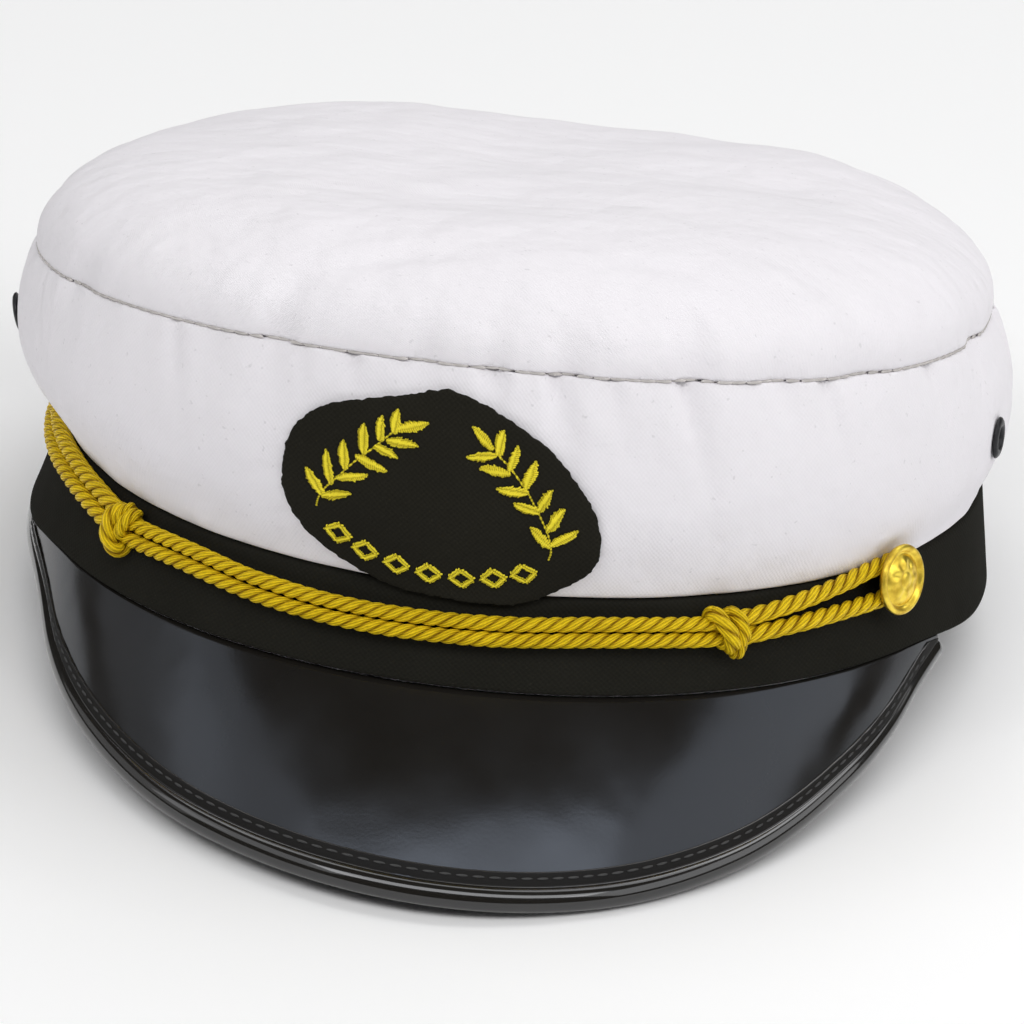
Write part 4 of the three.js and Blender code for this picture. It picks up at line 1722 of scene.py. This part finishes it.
        def unwrap(u: float, share: float, front: float) -> tuple:
            """Lay the nap over the patch."""
            p = self.rim_point(u) * share
            return (p.x, p.y + APART * front)

        bm = new_mesh()
        add_rows(bm, self.around, rows, self.felt_surface, unwrap)
        close_ends(bm)
        finish_piece(bm, "felt_patch", PATCH_FELT, "badge_patch")

    def add_thread(self, bm: BMesh, start: Vector, end: Vector, radius: float, lift: float) -> None:
        """Add one embroidery stitch.

        Args:
            bm: the mesh that gets it.
            start: where it begins on the patch.
            end: where it ends on the patch.
            radius: half its thickness.
            lift: how far its middle line stands above the felt.
        """
        middle = (start + end) / 2
        low = self.surface(middle.x, middle.y, 0)
        away = (self.surface(middle.x, middle.y, 1) - low).normalized()
        stand = self.wall + lift
        add_stitch(bm, self.surface(start.x, start.y, stand), self.surface(end.x, end.y, stand), away, radius)

    def add_leaf(self, bm: BMesh, foot: Vector, tip: Vector, chance: Random) -> None:
        """Add one leaf of satin stitches that slant across it.

        Args:
            bm: the mesh that gets it.
            foot: its foot on the patch.
            tip: its tip on the patch.
            chance: draws the unevenness.
        """
        along = tip - foot
        count = round(along.length / self.stitch_gap)
        way = along.normalized()
        across = flat(-way.y, way.x)
        slant = (across + way * chance.choice(self.leaf_slants)).normalized()
        full = self.leaf_half_width * chance.uniform(0.85, 1.12)
        for i in range(count + 1):
            t = i / count
            swell = max(0.0, sin(pi * (0.08 + 0.88 * t) ** 0.9)) ** 0.7
            middle = foot + along * t + across * chance.uniform(-0.08, 0.08)
            half = full * swell * chance.uniform(0.85, 1.15)
            self.add_thread(bm, middle - slant * half, middle + slant * half, 0.27, 0.08 + 0.16 * swell)

    def add_line(
        self, bm: BMesh, points: Sequence[Vector], half: float, closed: bool, chance: Random
    ) -> None:
        """Add a line of short slanted stitches.

        Args:
            bm: the mesh that gets it.
            points: the points that it passes, on the patch.
            half: half its width, or 0 for a thin line of running stitches.
            closed: whether it runs back to its start.
            chance: draws the unevenness.
        """
        length = sum((b - a).length for a, b in zip(points, points[1:]))
        count = round(length / (self.stitch_gap if half else self.running_stitch))
        for i in range(count):
            t = (i + 0.5) / count
            behind = spline_point(points, max(t - 0.5 / count, 0.0), closed)
            ahead = spline_point(points, min(t + 0.5 / count, 1.0 - 1e-6), closed)
            if not half:
                self.add_thread(bm, behind, ahead, 0.2, 0.05)
                continue
            way = (ahead - behind).normalized()
            slant = (flat(-way.y, way.x) + way * 0.55).normalized()
            middle = (behind + ahead) / 2
            reach = half * chance.uniform(0.85, 1.2)
            self.add_thread(bm, middle - slant * reach, middle + slant * reach, 0.26, 0.14)

    def lozenge(self, x: float, y: float) -> list[Vector]:
        """List points along the line of a lozenge that leans with its place in the row.

        Args:
            x: its middle's place across the patch.
            y: its middle's place up the patch.

        Returns:
            The points, once round from the right-hand corner.
        """
        half_width, half_height = self.lozenge_half
        lean, count = self.lozenge_lean * x, 16
        points = []
        for i in range(count):
            c, s = cos(2 * pi * i / count), sin(2 * pi * i / count)
            a, b = half_width * c / (abs(c) + abs(s)), half_height * s / (abs(c) + abs(s))
            points.append(flat(x + a - lean * b, y + b + lean * a))
        return points

    def make_embroidery(self) -> None:
        """Make the laurel sprigs and the row of lozenges."""
        chance = Random(5)
        bm = new_mesh()
        for a, b, c, d in self.leaves:
            self.add_leaf(bm, flat(a, b), flat(c, d), chance)
        for stem in (self.right_stem, self.left_stem):
            self.add_line(bm, [flat(*spot) for spot in stem], 0.0, False, chance)
        finish_piece(bm, "laurel_embroidery", EMBROIDERY)
        bm = new_mesh()
        for spot in self.lozenges:
            self.add_line(bm, self.lozenge(*spot), self.line_half, True, chance)
        finish_piece(bm, "lozenge_embroidery", EMBROIDERY)

    def build(self) -> None:
        """Make the patch's pieces."""
        self.make_felt()
        self.make_embroidery()


# --- Rope ---


@dataclass(frozen=True)
class BandPlace:
    """A place on the band: degrees round it and share of its height."""

    degrees: float
    up: float

    def point(self, stand: float, raised: float = 0.0) -> Vector:
        """Give the point that stands off the band there, raised by some millimetres.

        Args:
            stand: distance from the band.
            raised: distance up the band.

        Returns:
            The point.
        """
        angle = radians(self.degrees)
        share = self.up + raised / (FORM.band_height - FORM.rim_height(angle))
        return FORM.band_point(angle, share) + surface_normal(FORM.band_point, angle, share) * stand

    def away(self) -> Vector:
        """Give the direction away from the band there."""
        return surface_normal(FORM.band_point, radians(self.degrees), self.up)

    def frame(self, stand: float) -> Matrix:
        """Give a frame there: x along the band towards +X, y up it, z away from it.

        Args:
            stand: distance from the band.

        Returns:
            The frame.
        """
        z = self.away()
        ahead = replace(self, degrees=self.degrees + 0.5).point(0)
        behind = replace(self, degrees=self.degrees - 0.5).point(0)
        y = z.cross((ahead - behind).normalized()).normalized()
        x = y.cross(z)
        return Matrix.Translation(self.point(stand)) @ Matrix((x, y, z)).transposed().to_4x4()


@dataclass
class RopeLine:
    """The middle line of a rope: its points, the way each faces, and the length up to each."""

    points: list[Vector]
    facing: list[Vector]
    closed: bool = False
    lengths: list[float] = field(default_factory=list)

    def __post_init__(self) -> None:
        """Measure the line."""
        self.lengths = [0.0]
        for a, b in zip(self.points, self.points[1:]):
            self.lengths.append(self.lengths[-1] + (b - a).length)

    @property
    def length(self) -> float:
        """Give the whole length."""
        return self.lengths[-1]

    def at(self, run: float) -> tuple[Vector, Vector, Vector, Vector]:
        """Give the point, direction and two sides of the line after a run along it.

        Args:
            run: distance from the line's start.

        Returns:
            The point, the direction, the way it faces and the way to its side.
        """
        run = clamp(run, 0.0, self.length)
        high = min(bisect_right(self.lengths, run), len(self.lengths) - 1)
        low = high - 1
        part = (run - self.lengths[low]) / max(self.lengths[high] - self.lengths[low], 1e-9)
        point = self.points[low].lerp(self.points[high], part)
        after = self.points[min(high + 1, len(self.points) - 1)]
        before = self.points[max(low - 1, 0)]
        if self.closed and (low == 0 or high == len(self.points) - 1):
            before = self.points[low - 1] if low else self.points[-2]
            after = self.points[high + 1] if high < len(self.points) - 1 else self.points[1]
        first = (self.points[high] - before).normalized()
        second = (after - self.points[low]).normalized()
        along = first.lerp(second, part).normalized()
        facing = self.facing[low].lerp(self.facing[high], part)
        side = along.cross(facing).normalized()
        return point, along, side.cross(along), side


@dataclass(frozen=True)
class TwistedRope:
    """A rope laid up from three strands."""

    radius: float
    lay: float  # length of one turn
    strand: float  # radius of a strand
    step: float = 0.5
    strands: int = 3
    sides: int = 10
    flatness: float = 1.08  # how much wider than high a strand is
    unevenness: tuple = (0.03, 40)  # share of a strand's radius, and radians along the whole rope

    def lay_along(self, bm: BMesh, line: RopeLine, start: float) -> None:
        """Add a rope along a line.

        Args:
            bm: the mesh that gets it.
            line: the rope's middle line.
            start: turn of the first strand at the line's start, in turns.
        """
        turns = line.length / self.lay
        if line.closed:
            turns = max(1, round(turns))
        steps = max(12, round(line.length / self.step))
        reach = self.radius - self.strand
        lean = atan2(2 * pi * reach * turns, line.length)
        depth, waves = self.unevenness
        for strand in range(self.strands):

            def place(u: float, v: float, strand: int = strand) -> Vector:
                """Lay the grid round one strand.

                Args:
                    u: place along the rope.
                    v: place round the strand.
                    strand: the strand's number.

                Returns:
                    The point.
                """
                point, along, away, side = line.at(u * line.length)
                turn = -2 * pi * (turns * u + start + strand / self.strands)
                out = away * cos(turn) + side * sin(turn)
                round_rope = away * sin(turn) - side * cos(turn)
                run = along * cos(lean) + round_rope * sin(lean)
                cross = run.cross(out)
                angle = 2 * pi * v
                thick = self.strand * (1 + depth * sin(waves * u + strand))
                ring = out * cos(angle) * thick + cross * sin(angle) * thick * self.flatness
                return point + (out * reach + ring)

            def unwrap(u: float, v: float, strand: int = strand) -> tuple:
                """Lay the yarns along one strand."""
                return (line.length * u / cos(lean), 2 * pi * ROPE.strand * (v + strand))

            add_sheet(bm, steps, self.sides, place, unwrap)


@dataclass
class ChinCord:
    """The doubled gold rope, its two knots and its two loops round the buttons."""

    radius: float = 1.5
    spacing: float = 2.74  # between the two ropes at the front
    loop_spacing: float = 3.2  # between the two legs of a loop, at its knot
    opening: float = 30.0  # length over which they part round the button
    right_rise: float = 4.5  # how early the right loop climbs to its button
    left_rise: float = 1.0
    tight_rope: TwistedRope = TwistedRope(1.37, 7.6, 0.67)
    loose_rope: TwistedRope = TwistedRope(1.58, 9.4, 0.77)
    route: tuple[BandPlace, ...] = (
        BandPlace(-30, 0.71), BandPlace(-20, 0.65), BandPlace(-8, 0.615),
        BandPlace(7, 0.64), BandPlace(20, 0.69),
    )
    right_knot: BandPlace = BandPlace(-40.7, 0.7)
    left_knot: BandPlace = BandPlace(34, 0.665)
    right_button: BandPlace = BandPlace(-98, 0.9)
    left_button: BandPlace = BandPlace(58, 0.88)

    @property
    def stand(self) -> float:
        """Give how far the rope's middle stands off the band."""
        return self.radius + GAP

    @property
    def degrees_per_mm(self) -> float:
        """Give the degrees round the band of one millimetre of rope."""
        return 180 / (pi * (FORM.band_bottom.half_width + self.stand))

    def front_line(self, side: int) -> RopeLine:
        """Give the line of one of the two ropes between the knots.

        Args:
            side: 1 for the upper rope, -1 for the lower.

        Returns:
            The line.
        """
        start = BandPlace(self.right_knot.degrees + self.degrees_per_mm, self.right_knot.up)
        end = BandPlace(self.left_knot.degrees - self.degrees_per_mm, self.left_knot.up)
        route = [flat(at.degrees, at.up) for at in (start, *self.route, end)]
        count = 160
        places = [spline_point(route, i / count) for i in range(count + 1)]
        spots = [BandPlace(p.x, p.y) for p in places]
        points = [spot.point(self.stand, side * self.spacing / 2) for spot in spots]
        return RopeLine(points, [spot.away() for spot in spots])

    def loop_line(self, knot: BandPlace, button: BandPlace, rise: float) -> RopeLine:
        """Give the line of the rope from a knot round a button's shank and back.

        Args:
            knot: the knot's place.
            button: the button's place.
            rise: how early the loop climbs to the button's height.

        Returns:
            The line.
        """
        towards = copysign(1, button.degrees - knot.degrees)
        turn = Button.shank + self.radius + 2 * GAP
        start = knot.degrees + towards * self.degrees_per_mm
        end = button.degrees - towards * turn * self.degrees_per_mm
        rows, straight = 24, 0.88  # points of a leg, and its share of the way

        def side(sign: float) -> list[tuple[BandPlace, float]]:
            """List the places of one leg, with how far each is raised.

            Args:
                sign: 1 for the upper leg, -1 for the lower.

            Returns:
                The places from the knot to the button.
            """
            leg = []
            for i in range(rows):
                share = straight * i / (rows - 1)
                before = abs(end - start) * (1 - share) / self.degrees_per_mm
                apart = lerp(self.loop_spacing / 2, turn, max(0.0, 1 - before / self.opening) ** 1.5)
                up = lerp(knot.up, button.up, 1 - (1 - share) ** rise)
                leg.append((BandPlace(lerp(start, end, share), up), sign * apart))
            return leg

        bend = []
        for t in (-75, -40, 0, 40, 75):
            degrees = button.degrees + towards * turn * self.degrees_per_mm * cos(radians(t))
            bend.append((BandPlace(degrees, button.up), -turn * sin(radians(t))))
        spots = side(1) + bend + side(-1)[::-1]
        raw = [place.point(self.stand, raised) for place, raised in spots]
        ways = [place.away() for place, _ in spots]
        count = 8 * len(raw)
        points = [spline_point(raw, i / count) for i in range(count + 1)]
        facing = [spline_point(ways, i / count).normalized() for i in range(count + 1)]
        return RopeLine(points, facing)

    def wrap_line(self, knot: BandPlace, turn: "KnotTurn") -> RopeLine:
        """Give the closed line of one turn of a knot.

        Args:
            knot: the knot's place.
            turn: the turn of rope.

        Returns:
            The line.
        """
        place = knot.frame(turn.stand)
        points, facing, count = [], [], 64
        for i in range(count + 1):
            a = 2 * pi * i / count
            x = turn.shift + turn.lean * cos(a) + turn.twist * sin(a)
            local = Vector((x, turn.half_height * cos(a) + turn.raised, turn.half_depth * sin(a)))
            points.append(place @ local)
            out = Vector((0, cos(a) / turn.half_height, sin(a) / turn.half_depth)).normalized()
            facing.append(place.to_3x3() @ out)
        return RopeLine(points, facing, closed=True)

    def make_knot(self, name: str, knot: BandPlace, turns: Sequence["KnotTurn"], node: str) -> None:
        """Make one knot.

        Args:
            name: the piece's name.
            knot: its place on the band.
            turns: its turns of rope.
            node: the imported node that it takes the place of.
        """
        bm = new_mesh()
        for i, turn in enumerate(turns):
            rope = TwistedRope(turn.radius, turn.radius * 5.6, turn.radius * 0.54, 0.4)
            rope.lay_along(bm, self.wrap_line(knot, turn), 0.17 * i)
        close_ends(bm)
        finish_piece(bm, name, ROPE, node)

    def build(self) -> None:
        """Make the ropes, loops and knots."""
        for name, side, node in (("rope_upper", 1, "cord_upper"), ("rope_lower", -1, "cord_lower")):
            bm = new_mesh()
            self.tight_rope.lay_along(bm, self.front_line(side), 0.1 * side)
            close_ends(bm)
            finish_piece(bm, name, ROPE, node)
        ends = (
            ("right", self.right_knot, self.right_button, self.right_rise),
            ("left", self.left_knot, self.left_button, self.left_rise),
        )
        for word, knot, button, rise in ends:
            bm = new_mesh()
            self.loose_rope.lay_along(bm, self.loop_line(knot, button, rise), 0.3)
            close_ends(bm)
            finish_piece(bm, "rope_loop_" + word, ROPE, "cord_loop_" + word)
        self.make_knot("rope_knot_left", self.left_knot, LEFT_KNOT, "cord_knot_left")
        self.make_knot("rope_knot_right", self.right_knot, RIGHT_KNOT, "cord_knot_right")


@dataclass(frozen=True)
class KnotTurn:
    """One turn of rope round the doubled cord, in the knot's own frame."""

    shift: float
    lean: float
    twist: float
    half_height: float
    half_depth: float
    stand: float
    radius: float
    raised: float = 0.0


LEFT_KNOT = (
    KnotTurn(-1.2, -1.7, 0.4, 2.9, 2.1, 2.6, 1.5, 0.3),
    KnotTurn(1.5, -0.6, 0.9, 2.7, 1.6, 2.3, 1.3, 0.5),
    KnotTurn(2.1, 0.3, 0.2, 1.3, 1.2, 2.3, 1.0, -2.9),
)
RIGHT_KNOT = (
    KnotTurn(-1.1, -0.9, -0.5, 3.3, 2.1, 2.6, 1.5, -0.6),
    KnotTurn(1.2, 1.0, 0.4, 2.2, 1.6, 2.5, 1.2, 1.1),
    KnotTurn(-0.6, 0.9, 0.3, 1.9, 1.5, 2.4, 1.0, 2.0),
)


# --- Buttons and eyelets ---


def spun(profile: Sequence[tuple[float, float]], steps: int) -> BMesh:
    """Spin a profile of radii and heights round the z axis into a closed body.

    Args:
        profile: radius and height of each point, first and last on the axis or together.
        steps: facets round the body.

    Returns:
        The mesh.
    """
    bm = new_mesh()
    verts = [bm.verts.new((r, 0, z)) for r, z in profile]
    edges = [bm.edges.new(pair) for pair in zip(verts, verts[1:])]
    bmesh.ops.spin(
        bm, geom=verts + edges, cent=(0, 0, 0), axis=(0, 0, 1), angle=2 * pi, steps=steps, use_merge=True
    )
    bmesh.ops.remove_doubles(bm, verts=bm.verts, dist=MERGE)
    bmesh.ops.recalc_face_normals(bm, faces=bm.faces)
    return bm


@dataclass
class Button:
    """A gilt button with a raised rim, a sunk ring and a domed middle in low relief."""

    shank: ClassVar[float] = 1.0
    radius: float = 6.3
    stand: float = 3.5
    face: float = 4.4  # radius of the domed middle
    dome: float = 1.15

    def profile(self) -> list[tuple[float, float]]:
        """List the button's section from its shank to the middle of its face.

        Returns:
            The radius and height of each point.
        """
        base = self.stand
        back = [(0, GAP), (self.shank, GAP), (self.shank, base - 0.3), (self.shank + 0.6, base)]
        insets = (0.8, 0.2, 0, 0.15, 0.55, 1.0, 1.3, 1.5, 1.75)
        rises = (0.05, 0.3, 0.8, 1.25, 1.5, 1.4, 1.0, 0.75, 0.8)
        rim = [(self.radius - inset, base + rise) for inset, rise in zip(insets, rises)]
        radii = [lerp(self.face, 0, i / 16) for i in range(17)]
        dome = [(r, base + 0.95 + self.dome * (1 - (r / self.face) ** 2) ** 0.8) for r in radii]
        return back + rim + dome

    def relief(self, p: Vector) -> float:
        """Give the face's low relief: soft petals and a small boss.

        Args:
            p: the point, in the button's frame.

        Returns:
            How far the face stands up.
        """
        radius, turn = hypot(p.x, p.y), atan2(p.y, p.x)
        petals = 0.16 * cos(8 * turn) * bell(radius - 2.9, 1.3)
        ring = 0.2 * bell(radius - 1.5, 0.45)
        return petals - ring + 0.12 * bell(radius, 1.0)

    def build(self, name: str, place: BandPlace, node: str) -> None:
        """Make a button.

        Args:
            name: the piece's name.
            place: its place on the band.
            node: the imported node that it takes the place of.
        """
        bm = spun(self.profile(), 64)
        for vert in bm.verts:
            if vert.co.z > self.stand + 0.9 and hypot(vert.co.x, vert.co.y) < self.face + 0.1:
                vert.co.z += self.relief(vert.co)
        bm.transform(place.frame(0))
        finish_piece(bm, name, GILT, node)


@dataclass
class Eyelet:
    """A black metal vent eyelet pressed through the crown's side."""

    barrel: ClassVar[float] = 2.7
    hole: float = 1.8
    flange: float = 3.8
    # Degrees round the crown and height of each.
    right: tuple = (-79, 34.5)
    left: tuple = (80, 34)

    def frame_at(self, degrees: float, height: float) -> Matrix:
        """Give the eyelet's frame on the crown's side, with z out of it.

        Args:
            degrees: degrees round the crown.
            height: height above the lower rim.

        Returns:
            The frame.
        """
        angle = radians(degrees)
        share = (height - FORM.band_height) / (FORM.seam_middle - FORM.band_height)
        z = surface_normal(FORM.side_point, angle, share)
        x = Vector((0, 0, 1)).cross(z).normalized()
        basis = Matrix((x, z.cross(x), z)).transposed().to_4x4()
        return Matrix.Translation(FORM.side_point(angle, share)) @ basis

    def build(self, name: str, place: Matrix, node: str) -> None:
        """Make an eyelet.

        Args:
            name: the piece's name.
            place: its frame.
            node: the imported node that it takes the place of.
        """
        inner, wall = self.hole, self.barrel - GAP
        insets = (0.2, 0, 0.1, 0.5, 1.0, 1.5)
        rises = (0.3, 0.45, 0.75, 1.05, 1.2, 1.1)
        flange = [(self.flange - inset, rise) for inset, rise in zip(insets, rises)]
        profile = [(inner, -2.0), (wall, -2.0), (wall, 0.3), *flange]
        profile += [(inner + 0.15, 0.75), (inner, 0.3), (inner, -2.0)]
        bm = spun(profile, 40)
        bm.transform(place)
        finish_piece(bm, name, DARK_METAL, node)


# --- Studio ---


@dataclass(frozen=True)
class SoftBox:
    """A soft light: where it stands, its width and height, its power and where it points."""

    name: str
    place: tuple
    size: tuple
    power: float
    aim: tuple = (0, -0.08, 0.03)

    def build(self) -> None:
        """Hang the light."""
        light = bpy.data.lights.new(self.name, "AREA")
        light.shape = "RECTANGLE"
        light.size, light.size_y = self.size
        light.energy = self.power
        lamp = bpy.data.objects.new(self.name, light)
        lamp.location = self.place
        way = Vector(self.aim) - Vector(self.place)
        lamp.rotation_euler = way.to_track_quat("-Z", "Y").to_euler()
        bpy.context.scene.collection.objects.link(lamp)


@dataclass
class Studio:
    """The pale floor, the soft lights and the camera."""

    aim: tuple = (0.00715, -0.02457, 0.03341)
    azimuth: float = 8.392
    elevation: float = 25.645
    roll: float = 4.2586
    distance: float = 0.97937
    lens: float = 192.06
    sky: float = 0.03
    floor: tuple = (0.96, 0.96, 0.962, 1)
    floor_drop: float = 0.0004  # how far it lies below the part
    boxes: tuple[SoftBox, ...] = (
        SoftBox("key_box", (0.16, -0.98, 1.34), (2.4, 0.62), 17),
        SoftBox("front_left_box", (-1.09, -0.71, 1.01), (1.5, 0.8), 4),
        SoftBox("right_box", (1.41, -0.2, 0.78), (1.6, 1.0), 8),
        SoftBox("left_box", (-1.46, 0.0, 0.7), (1.2, 0.9), 1.6),
        SoftBox("back_box", (0.39, 0.98, 1.16), (1.4, 0.8), 6),
        SoftBox("top_box", (0.0, 0.52, 1.51), (1.8, 0.6), 7),
    )

    def make_camera(self) -> None:
        """Set up the camera."""
        a, e = radians(self.azimuth), radians(self.elevation)
        back = Vector((sin(a) * cos(e), -cos(a) * cos(e), sin(e)))
        data = bpy.data.cameras.new("studio_camera")
        data.lens = self.lens
        data.sensor_width = 36
        data.clip_start = 0.05
        camera = bpy.data.objects.new("studio_camera", data)
        camera.location = Vector(self.aim) + back * self.distance
        turn = (-back).to_track_quat("-Z", "Y").to_matrix() @ Matrix.Rotation(radians(self.roll), 3, "Z")
        camera.rotation_euler = turn.to_euler()
        bpy.context.scene.collection.objects.link(camera)
        bpy.context.scene.camera = camera

    def make_floor(self) -> None:
        """Lay the floor."""
        material = bpy.data.materials.new("pale_floor")
        material.use_nodes = True
        shader = material.node_tree.nodes["Principled BSDF"]
        shader.inputs["Base Color"].default_value = self.floor
        shader.inputs["Roughness"].default_value = 0.9
        shader.inputs["Specular IOR Level"].default_value = 0.1
        bm = bmesh.new()
        bmesh.ops.create_grid(bm, x_segments=1, y_segments=1, size=4.0)
        mesh = bpy.data.meshes.new("studio_floor")
        bm.to_mesh(mesh)
        bm.free()
        mesh.materials.append(material)
        floor = bpy.data.objects.new("studio_floor", mesh)
        floor.location.z = -self.floor_drop
        bpy.context.scene.collection.objects.link(floor)

    def build(self) -> None:
        """Make the whole studio."""
        self.make_camera()
        self.make_floor()
        for box in self.boxes:
            box.build()
        world = bpy.data.worlds.new("studio_sky")
        world.use_nodes = True
        sky = world.node_tree.nodes["Background"]
        sky.inputs["Color"].default_value = (1, 1, 1, 1)
        sky.inputs["Strength"].default_value = self.sky
        scene = bpy.context.scene
        scene.world = world
        scene.view_settings.view_transform = "Standard"
        scene.view_settings.look = "None"


# --- The whole hat ---


def main() -> None:
    """Build the studio and every piece of the hat."""
    logging.basicConfig(level=logging.INFO, format="%(message)s")
    Studio().build()
    eyelet = Eyelet()
    vents = {"right": eyelet.frame_at(*eyelet.right), "left": eyelet.frame_at(*eyelet.left)}
    HeadBand().build()
    Crown().build(list(vents.values()))
    Peak().build()
    BadgePatch().build()
    cord = ChinCord()
    cord.build()
    Button().build("gilt_button_right", cord.right_button, "button_right")
    Button().build("gilt_button_left", cord.left_button, "button_left")
    for word, place in vents.items():
        eyelet.build("vent_eyelet_" + word, place, "eyelet_" + word)


if __name__ == "__main__":
    main()
